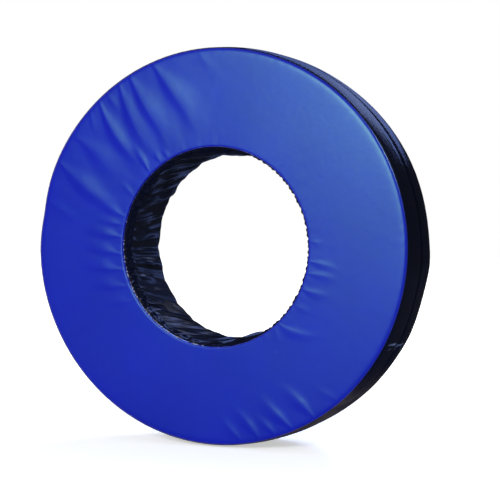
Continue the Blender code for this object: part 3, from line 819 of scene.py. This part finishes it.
def gathers(angle, along):
    """How far the lining stands into the bore: a ruffle at each seam, and loose slanting folds between."""
    angle, along = np.broadcast_arrays(angle, along)
    from_front = along + LINING_END
    from_rear = LINING_END - along
    slanted = angle + SLANT * np.sin(angle) * along / (2.0 * LINING_END)
    drift = 1.6 * ripples(angle, along, 61, 10, 2, 9, 0.6)
    left = smoothstep(0.5 - 0.9 * np.cos(angle))
    body = smoothstep((from_front - 0.007 + 0.004 * left) / (0.040 - 0.018 * left))
    body = body * smoothstep(from_rear / 0.009)
    loose = LOOSE
    for middle, width, depth in SAGS:
        loose = loose + depth * near(angle, middle, width)
    loose = loose + SLACK * chords(slanted, 68, 0.052, 0.100)
    fullness = 0.55 + 0.45 * ripples(angle, along, 62, 12, 3, 14, 0.22)
    middle_part = 1.0 - 0.75 * np.exp(-from_rear / 0.030)
    upper = 0.35 + 0.65 * near(angle, 142, 48)
    big = BIG_FOLDS * upper * crests(29 * slanted + drift, 1.5) * np.clip(fullness, 0.05, 1.3)
    second = ripples(angle, along, 64, 14, 5, 20, 0.14)
    small = SMALL_FOLDS * crests(47 * slanted - 1.7 * drift, 1.8) * np.clip(0.4 + 0.7 * second, 0.0, 1.2)
    pinch = PINCHES * crests(83 * slanted + 2.4 * drift, 2.2) * np.clip(0.3 + 0.8 * second, 0.0, 1.0)
    at_front = smoothstep(from_front / 0.004) * bell(np.maximum(from_front - 0.005, 0.0), 0.009)
    ruffle = RUFFLE + RUFFLE_SLACK * chords(angle, 65, 0.026, 0.042)
    ruffle = ruffle + RUFFLE_PINCHES * crests(112 * angle + 2.0 * drift, 1.5)
    height = body * (loose + middle_part * (big + small + pinch)) + at_front * ruffle
    ends = smoothstep(np.minimum(from_front, from_rear) / 0.004)
    return np.maximum(height, 0.0) * ends


def add_lining(around, across):
    """The gathered lining, with a plain back against the foam."""
    grid = full_turn(around)[:, None]
    along = -LINING_END + 2.0 * LINING_END * eased(across)
    radius = BORE_RADIUS - LINING_ROOM - gathers(grid, along[None, :])
    inside = round_points(grid, radius, along[None, :])
    few = along[::-6]
    back = round_points(grid, np.full((1, len(few)), BORE_RADIUS + LINING_ROOM), few[None, :])
    lining = add_skin("bore_cover", inside, back, lining_vinyl, "bore_lining")


add_lining(2160, 84)

# ---- the foam ring, glued up from three slabs

FOAM_AROUND = 720
SLAB_CORNER = 0.0012
# Unevenness of the sawn foam, and how far under the tread's flat the middle slab is pressed in
SAWN = 0.0004
MIDDLE_SAWN = 0.0003
MIDDLE_PRESSED = 0.0015


def add_slab(name, side, cad):
    """An outer slab, filling the cover up to its face, its shoulders and its tread."""
    angles = full_turn(FOAM_AROUND)[:, None]
    radii = np.linspace(FOAM_BORE, FACE_RIM - FOAM_CORNER, 34)[None, :]
    face = SEAM_HALF + face_height(angles, radii, FACE_SEEDS[side], ()) - VINYL - FOAM_ROOM
    along = np.linspace(TREAD_EDGE - FOAM_CORNER, MIDDLE_SLAB_HALF + GLUE, 16)[None, :]
    tread = tread_radius(along) + tread_swell(angles, side * along, side) - VINYL - FOAM_ROOM
    tread = pressed(angles, tread, VINYL + FOAM_ROOM)
    saw = SAWN * ripples(angles, radii[:, ::-5], 71 + side, 16, 4, 30, 0.2)
    cut = np.full(angles.shape, MIDDLE_SLAB_HALF + GLUE) + np.abs(saw)
    back = np.linspace(SEAM_HALF, MIDDLE_SLAB_HALF + GLUE, 8)[None, 1:-1]
    wall = np.broadcast_to(back, (len(angles), back.shape[1]))
    points = np.concatenate(
        [
            round_points(angles, radii, side * face),
            round_points(angles, tread, side * along),
            round_points(angles, radii[:, ::-5], side * cut),
            round_points(angles, np.full(wall.shape, FOAM_BORE), side * wall[:, ::-1]),
        ],
        axis=1,
    )
    slab = add_piece(lofted(name, points), "wheel", soft_foam, [cad])


def add_middle_slab():
    """The firm middle slab: lower than its neighbours for the tapes, with a channel that clears the zip."""
    angles = full_turn(FOAM_AROUND)[:, None]
    half, corner, top = MIDDLE_SLAB_HALF, SLAB_CORNER, MIDDLE_SLAB_RADIUS
    wall = [(FOAM_BORE, place) for place in (corner - half, -0.5 * half, 0.0, 0.5 * half, half - corner)]
    rear_half = [(FOAM_BORE + corner, half), (0.40, half), (0.50, half), (top - corner, half)]
    rear_half += [(top, half - corner), (top, GROOVE_HALF + corner), (top - corner, GROOVE_HALF)]
    rear_half += [(GROOVE_RADIUS, GROOVE_HALF)]
    front_half = [(radius, -along) for radius, along in rear_half[::-1]]
    places = np.array(wall + rear_half + front_half)
    radius, along = places[None, :, 0], places[None, :, 1]
    rough = MIDDLE_SAWN * ripples(angles, along, 75, 18, 20, 90, 0.05)
    rough = np.where(radius > FOAM_BORE + corner, -np.abs(rough), np.abs(rough))
    rough = np.where(np.abs(radius - GROOVE_RADIUS) < corner, 0.0, rough)
    points = round_points(angles, pressed(angles, radius + rough, MIDDLE_PRESSED), along)
    mesh = lofted("foam_ring_middle", points)
    slab = add_piece(mesh, "wheel", firm_foam, ["foam_slab_middle"])


add_slab("foam_ring_front", -1, "foam_slab_front")
add_middle_slab()
add_slab("foam_ring_rear", 1, "foam_slab_rear")

# ---- the tapes behind the tread's seam

RIB_HEIGHT = 0.00008
SELVEDGE_HEIGHT = 0.00010
SELVEDGE_WIDTH = 0.0010
TAPE_EASE = 0.0001
SEAM_TAPE_HALF = 0.014
SEAM_GAP = 0.006 / CHAIN_RADIUS


def add_ribbon(name, first, last, low, high, level, cad, ribs):
    """A woven tape between two angles: ribbed across, its selvedges a little thicker."""
    steps = int((last - first) * WHEEL_RADIUS / RIB_SPACING)
    angles = np.linspace(first, last, steps)[:, None]
    along = np.linspace(low, high, 15)[None, :]
    rib = 0.5 + 0.5 * np.cos(math.pi * np.arange(steps))[:, None]
    edge = np.minimum(np.abs(along - low), np.abs(high - along))
    swell = RIB_HEIGHT * ribs * rib + SELVEDGE_HEIGHT * bell(edge, SELVEDGE_WIDTH)
    above = level(angles, along) - (RIB_HEIGHT + SELVEDGE_HEIGHT) + swell
    top = round_points(angles, above, along)
    under = round_points(angles, above - TAPE_THICKNESS + TAPE_EASE, along)[:, ::-1]
    tape = add_skin(name, top, under, tape_cloth, cad, closed=False)


def flat_top(angles, along):
    """The radius of the zip's tapes."""
    return np.full(np.broadcast(angles, along).shape, TAPE_TOP)


def under_seam(angles, along):
    """The radius just under the tread's seam, which draws its strips in."""
    edge, opened = strip_edge(angles)
    across = np.maximum(np.abs(along), edge)
    radius = tread_radius(across) + tread_swell(angles, across, 1)
    other = tread_radius(across) + tread_swell(angles, -across, -1)
    radius = np.minimum(radius, other) - seam_groove(across, edge, opened)
    return pressed(angles, radius - VINYL - FIT, VINYL + FIT)


seam_run = (TAPE_LAST + SEAM_GAP - 2.0 * math.pi, TAPE_FIRST - SEAM_GAP)
add_ribbon("seam_tape", *seam_run, -SEAM_TAPE_HALF, SEAM_TAPE_HALF, under_seam, "centre_seam_tape", 0.6)
for end, side in (("front", -1), ("rear", 1)):
    low, high = side * TAPE_INNER, side * TAPE_OUTER
    add_ribbon("zip_ribbon_" + end, TAPE_FIRST, TAPE_LAST, low, high, flat_top, "zip_tape_" + end, 1.0)

# ---- small parts


def merged(name, shapes):
    """One mesh out of many (points, faces) pairs, each a closed body."""
    points, faces, count = [], [], 0
    for places, sides in shapes:
        points.append(places)
        faces.extend([[corner + count for corner in side] for side in sides])
        count += len(places)
    return mesh_of(name, np.concatenate(points), faces)


def rod(path, thick, sides=8):
    """A rounded rod along a path of points, thinner at both ends."""
    path = np.asarray(path, dtype=float)
    thick = np.broadcast_to(thick, (len(path),))
    forward = np.gradient(path, axis=0)
    forward /= np.linalg.norm(forward, axis=1)[:, None]
    guide = np.array([0.0, 1.0, 0.0]) if abs(forward[0, 1]) < 0.9 else np.array([1.0, 0.0, 0.0])
    across = np.cross(forward, guide)
    across /= np.linalg.norm(across, axis=1)[:, None]
    up = np.cross(across, forward)
    turns = full_turn(sides)
    ring = across[:, None, :] * np.cos(turns)[None, :, None] + up[:, None, :] * np.sin(turns)[None, :, None]
    points = path[:, None, :] + thick[:, None, None] * ring
    return points.reshape(-1, 3), loop_faces(len(path), sides)


def stitch(start, end, lift, out, thick):
    """A stitch of thread from one place to another, standing out between them."""
    shares = np.linspace(0.0, 1.0, 7)[:, None]
    path = start + (end - start) * shares + out * lift * np.sin(math.pi * shares)
    return rod(path, thick * (0.55 + 0.45 * np.sin(math.pi * shares[:, 0])), 6)


# Teeth: (place across the zip, half width along it, half thickness)
TOOTH_SECTIONS = (
    (0.0055, 0.00125, 0.00155),
    (0.0052, 0.00135, 0.00170),
    (0.0038, 0.00130, 0.00170),
    (0.0024, 0.00085, 0.00150),
    (0.0013, 0.00085, 0.00140),
    (0.0006, 0.00125, 0.00140),
    (-0.0002, 0.00135, 0.00130),
    (-0.0006, 0.00085, 0.00090),
)


def add_teeth(name, side, stagger, cad):
    """One row of teeth, set off along the zip by a share of their pitch."""
    turns = full_turn(12)
    square = 1.0 / np.maximum(np.abs(np.cos(turns)) ** 4 + np.abs(np.sin(turns)) ** 4, 1e-9) ** 0.25
    faces = loop_faces(len(TOOTH_SECTIONS), len(turns))
    pitch = TOOTH_PITCH / CHAIN_RADIUS
    shapes = []
    for number in range(TEETH_PER_SIDE):
        middle = TEETH_FIRST + (number + 0.5 + stagger) * pitch
        rows = []
        for place, wide, thick in TOOTH_SECTIONS:
            angle = middle + wide * square * np.cos(turns) / CHAIN_RADIUS
            rows.append(round_points(angle, CHAIN_RADIUS + thick * square * np.sin(turns), side * place))
        shapes.append((np.concatenate(rows), faces))
    add_piece(merged(name, shapes), "wheel", tooth_resin, [cad])


add_teeth("zip_chain_front", -1, -0.25, "zip_teeth_front")
add_teeth("zip_chain_rear", 1, 0.25, "zip_teeth_rear")


def ease_edges(thing, width):
    """Round a piece's sharp edges."""
    edge = thing.modifiers.new("eased", "BEVEL")
    edge.width = width
    edge.segments = 3
    edge.limit_method = "ANGLE"


for stop in ("zip_top_stop_front", "zip_top_stop_rear", "zip_box_stop"):
    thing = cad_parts[stop]
    thing.data.materials.clear()
    thing.data.materials.append(nickel)
    ease_edges(thing, 0.0005)

# ---- the slider and its tab, in the slider's own directions:
# X along the zip towards its open end, Z away from the wheel


def slider_place(points):
    """Turn places on the slider into places in the wheel, with the slider at the zip's closed end."""
    points = np.asarray(points, dtype=float)
    return np.stack([-(CHAIN_RADIUS + points[:, 2]), points[:, 1], points[:, 0]], axis=1)


def slider_shape(rows):
    """A closed body on the slider, from rows of places that are each a closed loop."""
    points = np.array(rows)
    return slider_place(points.reshape(-1, 3)), loop_faces(len(rows), points.shape[1])


def mirrored(half):
    """The other half of an outline that is the same on both sides, in the order that goes on round it."""
    return [(x, -y) for x, y in half[::-1]]


SLIDER_HALF = 0.011
SLIDER_INNER = 0.0060
SLIDER_OUTER = 0.0074
SLIDER_CEILING = 0.0022
SLIDER_TOP = 0.0037
FLANGE_TIP = 0.0010
PLATE_CORNER = 0.0007
FLANGE_CORNER = 0.0003
BAIL_INSIDE_HALF = 0.0050
BAIL_ROOM = 0.0029
BAIL_SUNK = 0.0004
BAIL_BEND = 0.0016
BAIL_HALF_WIDTH = 0.0015
BAIL_HALF_THICKNESS = 0.0007


def slider_plate(side):
    """One plate, above or below the chain, with its flanges: broad at the mouth, rounded at every edge."""
    stations = (
        (-1.00, 1.02, 0.55), (-0.96, 1.07, 0.85), (-0.88, 1.10, 1.0), (-0.60, 1.09, 1.0), (-0.25, 1.02, 1.0),
        (0.10, 0.96, 1.0), (0.50, 0.95, 1.0), (0.80, 0.95, 1.0), (0.93, 0.93, 0.92), (1.00, 0.88, 0.60),
    )
    rows = []
    for place, spread, full in stations:
        outer = SLIDER_OUTER * spread
        inner = SLIDER_INNER * max(spread, 1.0)
        top = SLIDER_CEILING + (SLIDER_TOP - SLIDER_CEILING) * full
        corner, part = PLATE_CORNER, 0.3 * PLATE_CORNER
        right = [
            (inner, FLANGE_TIP), (outer - FLANGE_CORNER, FLANGE_TIP), (outer, FLANGE_TIP + FLANGE_CORNER),
            (outer, top - corner), (outer - part, top - part), (outer - corner, top),
            (0.5 * outer, top + 0.0001),
        ]
        left = [(-y, z) for y, z in right[::-1]]
        ceiling = [(y, SLIDER_CEILING) for y in (-inner, 0.0, inner)]
        loop = right + [(0.0, top + 0.0002)] + left + ceiling
        rows.append([(place * SLIDER_HALF, y, side * z) for y, z in loop])
    return slider_shape(rows)


def bail():
    """The bridge that the tab hangs from: a flat band bent over the top plate, its feet sunk into it."""
    floor, roof = SLIDER_TOP - BAIL_SUNK, SLIDER_TOP + BAIL_ROOM + BAIL_HALF_THICKNESS
    middle, bend = BAIL_INSIDE_HALF + 0.0009, BAIL_BEND
    path = [(-middle, floor), (-middle, roof - 0.0022)]
    path += [
        (-middle + bend * (1 - math.cos(turn)), roof - bend + bend * math.sin(turn))
        for turn in np.linspace(0.15, math.pi / 2, 5)
    ]
    path = np.array(path + [(-x, z) for x, z in path[::-1]])
    forward = np.gradient(path, axis=0)
    forward /= np.linalg.norm(forward, axis=1)[:, None]
    normal = np.stack([-forward[:, 1], forward[:, 0]], axis=1)
    half, thick = BAIL_HALF_WIDTH, BAIL_HALF_THICKNESS
    section = (
        (-half, -0.6), (-half, 0.5), (-0.75 * half, 1.0), (0.75 * half, 1.0),
        (half, 0.5), (half, -0.6), (0.75 * half, -1.0), (-0.75 * half, -1.0),
    )
    rows = []
    for place, out in zip(path, normal):
        rows.append([(place[0] + out[0] * thick * t, y, place[1] + out[1] * thick * t) for y, t in section])
    return slider_shape(rows)


def slider_neck():
    """The neck near the mouth that joins the two plates."""
    reach = SLIDER_CEILING + 0.0004
    start, end, half, corner = 0.0020 - SLIDER_HALF, 0.0060 - SLIDER_HALF, 0.0004, 0.0006
    outline = [(start, -0.5 * half), (start + corner, -half), (end - corner, -half), (end, -0.5 * half)]
    outline += mirrored(outline)
    return slider_shape([[(x, y, z) for x, y in outline] for z in np.linspace(-reach, reach, 5)])


slider_body = merged("slider_body", [slider_plate(1), slider_plate(-1), slider_neck(), bail()])
add_piece(slider_body, "slider", nickel, ["zip_slider"], math.radians(35.0))

TAB_HINGE = (-0.00356, 0.00514)
TAB_LENGTH = 0.042
TAB_THICKNESS = 0.0014


def add_tab():
    """The tab, hanging by its crossbar inside the bail: a window at its top and a hole near its round end."""
    round_radius, hole_radius = 0.00625, 0.0030
    centre = TAB_LENGTH - round_radius
    turns = np.linspace(-math.pi / 2, math.pi / 2, 25)
    low = [(-0.0009, -0.0042), (-0.0004, -0.0048), (0.012, -0.0049), (0.022, -0.0054)]
    end = [(centre + round_radius * math.cos(t), round_radius * math.sin(t)) for t in turns]
    outline = low + end + mirrored(low)
    window = [(0.0009, -0.0019), (0.0012, -0.0021), (0.0092, -0.0021), (0.0095, -0.0018)]
    window += mirrored(window)
    hole = [(centre + hole_radius * math.cos(t), hole_radius * math.sin(t)) for t in full_turn(28)]
    shape = bmesh.new()
    for loop in (outline, window, hole):
        corners = [shape.verts.new((x, y, 0.0)) for x, y in loop]
        for index, corner in enumerate(corners):
            shape.edges.new((corner, corners[(index + 1) % len(corners)]))
    bmesh.ops.triangle_fill(shape, edges=shape.edges[:], use_beauty=True)
    swept = bmesh.ops.extrude_face_region(shape, geom=shape.faces[:])
    moved = [item for item in swept["geom"] if isinstance(item, bmesh.types.BMVert)]
    bmesh.ops.translate(shape, verts=moved, vec=(0.0, 0.0, TAB_THICKNESS))
    bmesh.ops.recalc_face_normals(shape, faces=shape.faces[:])
    for corner in shape.verts:
        x, y, z = corner.co
        on_slider = (TAB_HINGE[0] - x, y, TAB_HINGE[1] + z - TAB_THICKNESS / 2)
        corner.co = slider_place([on_slider])[0]
    bmesh.ops.recalc_face_normals(shape, faces=shape.faces[:])
    mesh = bpy.data.meshes.new("pull_tab_plate")
    shape.to_mesh(mesh)
    shape.free()
    tab = add_piece(mesh, "pull_tab", nickel, ["zip_pull_tab"], math.radians(30.0))
    ease_edges(tab, 0.0003)


add_tab()

# ---- the patches over the zip's ends

PATCH_HALF = 0.028
PATCH_CORNER = 0.006
# How much of a tape's end a patch covers, and how far it runs on past the zip's opening
PATCH_COVERS = (0.020 - 0.0012) / CHAIN_RADIUS
PATCH_BEYOND = math.radians(6.075)
PATCH_UPPER = (OPENING_FIRST - PATCH_BEYOND, TAPE_FIRST + PATCH_COVERS)
PATCH_LOWER = (TAPE_LAST - PATCH_COVERS, OPENING_LAST + PATCH_BEYOND)


def add_patch(name, first, last, cad):
    """A vinyl patch lying on the tread, its edges turned down a little, its corners rounded."""
    half, corner = PATCH_HALF, PATCH_CORNER
    angles = np.linspace(first, last, 90)[:, None]
    share = np.linspace(-1.0, 1.0, 41)[None, :]
    from_end = np.minimum(angles - first, last - angles) * WHEEL_RADIUS
    cut = corner - np.sqrt(np.maximum(corner**2 - np.maximum(corner - from_end, 0.0) ** 2, 0.0))
    along = share * (half - cut)
    lift = tread_radius(along) + np.maximum(tread_swell(angles, along, 1), tread_swell(angles, along, -1))
    edge = np.minimum(from_end, (half - cut) * (1.0 - np.abs(share)))
    under = lift + 0.0004 + 0.0005 * (1.0 - np.exp(-edge / 0.003)) * (0.6 + 0.4 * np.cos(angles * 130.0))
    outside, inside = round_points(angles, under + VINYL, along), round_points(angles, under, along)
    patch = add_skin(name, outside, inside[:, ::-1], tread_vinyl, cad, closed=False)


add_patch("patch_cover_upper", *PATCH_UPPER, "zip_patch_upper")
add_patch("patch_cover_lower", *PATCH_LOWER, "zip_patch_lower")

# ---- stitches

STITCH_PITCH = 0.0042
STITCH_SHARE = 0.72
ZIP_STITCH_ROWS = (-0.0168, -0.0122, 0.0122, 0.0168)
PATCH_STITCH_INSET = 0.0045


def tread_place(angle, along, lift):
    """A place on the tread, as one point."""
    side = 1 if along > 0 else -1
    return round_points(angle, tread_radius(along) + tread_swell(angle, along, side) + lift, along)


def tread_stitch(angle, ends):
    """A machine stitch on the tread, near an angle."""
    return stitch(*ends, 0.0004, np.array([math.cos(angle), 0.0, math.sin(angle)]), 0.00032)


def add_zip_stitches():
    """Two rows of black stitches down each side of the zip, and a row round each patch."""
    shapes = []
    step = STITCH_PITCH / WHEEL_RADIUS
    for row in ZIP_STITCH_ROWS:
        angle = PATCH_UPPER[1] + step
        while angle < PATCH_LOWER[0] - step:
            ends = [tread_place(angle + reach * step, row, -0.0001) for reach in (0.0, STITCH_SHARE)]
            shapes.append(tread_stitch(angle, ends))
            angle += step
    inset = PATCH_STITCH_INSET
    for first, last in (PATCH_UPPER, PATCH_LOWER):
        low, high = first + inset / WHEEL_RADIUS, last - inset / WHEEL_RADIUS
        half = PATCH_HALF - inset
        corners = [(low, -half), (high, -half), (high, half), (low, half)]
        for number, (angle, along) in enumerate(corners):
            angle_end, along_end = corners[(number + 1) % 4]
            run = math.hypot((angle_end - angle) * WHEEL_RADIUS, along_end - along)
            count = int(run / STITCH_PITCH)
            for piece in range(count):
                ends = []
                for share in (piece / count, (piece + STITCH_SHARE) / count):
                    place = (angle + (angle_end - angle) * share, along + (along_end - along) * share)
                    ends.append(tread_place(*place, 0.0015))
                shapes.append(tread_stitch(angle, ends))
    add_piece(merged("zip_stitches", shapes), "wheel", black_thread)


BORE_STITCHED = (164, 268)
# Where the bore's stitches show most, and over what half width
STITCHES_SHOW = (222, 22)


def add_bore_stitches():
    """White hand stitches over the front bore seam, uneven, mostly sunk among the gathers."""
    draw = np.random.default_rng(81)
    shapes = []
    angle = math.radians(BORE_STITCHED[0])
    while angle < math.radians(BORE_STITCHED[1]):
        angle += draw.uniform(0.0035, 0.0105) / BORE_RADIUS
        shown = 0.25 + 0.45 * near(angle, *STITCHES_SHOW)
        if draw.uniform() > shown:
            continue
        lean = draw.uniform(-0.004, 0.004) / BORE_RADIUS
        reach = draw.uniform(0.0004, 0.0014)
        lip = BORE_RADIUS + reach
        height = face_height(angle, lip, FACE_SEEDS[-1], FOLDS)
        onto_face = round_points(angle, lip, 0.0003 - SEAM_HALF - height)
        into_bore = round_points(angle + lean, BORE_RADIUS - 0.0012, -SEAM_HALF + 1.5 * reach + 0.001)
        out = np.array([-0.7 * math.cos(angle), -0.7, -0.7 * math.sin(angle)])
        shapes.append(stitch(onto_face, into_bore, 0.0012, out, draw.uniform(0.0005, 0.0010)))
    add_piece(merged("bore_stitches", shapes), "wheel", white_thread)


add_zip_stitches()
add_bore_stitches()

# ---- floor, world and lamps

FLOOR_HALF = 14.0
# The floor's own glow near the wheel and far from it, and the distances that it changes between
FLOOR_GLOW = 0.52
FAR_GLOW = 1.02
SHADOW_NEAR = 0.80
SHADOW_FAR = 1.45
WORLD_LIGHT = 0.25


def background_rays(tree):
    """1 for the rays that see the background: from the camera, and through gloss and glass."""
    rays = node(tree, "ShaderNodeLightPath")
    either = math_node(tree, "MAXIMUM", rays.outputs["Is Camera Ray"], rays.outputs["Is Glossy Ray"])
    return math_node(tree, "MAXIMUM", either, rays.outputs["Is Transmission Ray"])


def add_floor():
    """A white floor that shows the wheel's shadow and is as bright as the background further out."""
    mesh = bpy.data.meshes.new("floor")
    corners = [(FLOOR_HALF * x, FLOOR_HALF * y, 0.0) for x, y in ((-1, -1), (1, -1), (1, 1), (-1, 1))]
    mesh.from_pydata(corners, [], [(0, 1, 2, 3)])
    floor = bpy.data.objects.new("floor", mesh)
    bpy.context.scene.collection.objects.link(floor)
    floor.location = (0.0, 0.0, REST_LEVEL)
    material, tree, shader = new_material("floor", (0.86, 0.86, 0.86), roughness=0.9)
    mesh.materials.append(material)
    output = tree.nodes["Material Output"]
    light = node(tree, "ShaderNodeEmission")
    both = node(tree, "ShaderNodeAddShader")
    away = vector_node(tree, "LENGTH", position(tree))
    glow = ranged(tree, away, SHADOW_NEAR, SHADOW_FAR, FLOOR_GLOW, FAR_GLOW, smooth=True)
    tree.links.new(math_node(tree, "MULTIPLY", background_rays(tree), glow), light.inputs["Strength"])
    tree.links.new(shader.outputs["BSDF"], both.inputs[0])
    tree.links.new(light.outputs["Emission"], both.inputs[1])
    tree.links.new(both.outputs["Shader"], output.inputs["Surface"])


def add_world():
    """A white world: faint as light, full as background."""
    world = bpy.data.worlds.new("studio")
    bpy.context.scene.world = world
    world.use_nodes = True
    tree = world.node_tree
    background = tree.nodes["Background"]
    background.inputs["Color"].default_value = (1.0, 1.0, 1.0, 1.0)
    strength = ranged(tree, background_rays(tree), 0.0, 1.0, to_low=WORLD_LIGHT)
    tree.links.new(strength, background.inputs["Strength"])


def around(azimuth, elevation, distance):
    """A place at an angle to the side and up, in degrees, and at a distance from the wheel's centre."""
    return scaled(direction(math.radians(azimuth), math.radians(elevation)), distance)


def add_lamp(name, place, size, power, color):
    """An area lamp that looks at the wheel's centre."""
    data = bpy.data.lights.new(name, "AREA")
    data.shape = "RECTANGLE"
    data.size, data.size_y = size
    data.energy = power
    data.color = color
    lamp = bpy.data.objects.new(name, data)
    bpy.context.scene.collection.objects.link(lamp)
    lamp.visible_camera = False
    aim(lamp, place)
    return lamp


def add_sheet(name, place, target, size, power, color):
    """A bright sheet that only gloss shows, as a studio's panels do."""
    sheet = add_lamp(name, place, size, power, color)
    aim(sheet, place, target)
    sheet.visible_diffuse = False


add_floor()
add_world()
CENTRE = (0.0, 0.0, 0.0)
WHITE = (1.0, 1.0, 1.0)
COOL = (0.88, 0.94, 1.0)
SKY = (0.24, 0.37, 1.0)
add_lamp("key", around(2, 18, 5.5), (1.5, 1.1), 212, COOL)
add_lamp("fill", around(172, 28, 4.5), (1.5, 1.1), 90, COOL)
add_sheet("sheen", around(2, 18, 5.6), CENTRE, (2.7, 1.9), 860, WHITE)
add_sheet("sky", (0.19, 1.25, 0.915), (0.19, 0.0, 0.915), (1.22, 0.77), 275, SKY)
add_sheet("gap", (0.20, 1.25, 0.07), (0.20, 0.0, 0.07), (0.64, 0.22), 17, SKY)
add_sheet("low gap", (-0.27, 1.25, -0.27), (-0.27, 0.0, -0.27), (0.36, 0.13), 8, SKY)
add_sheet("right", around(92, 34, 5.0), CENTRE, (1.7, 1.1), 300, COOL)
bpy.context.scene.view_settings.view_transform = "Standard"
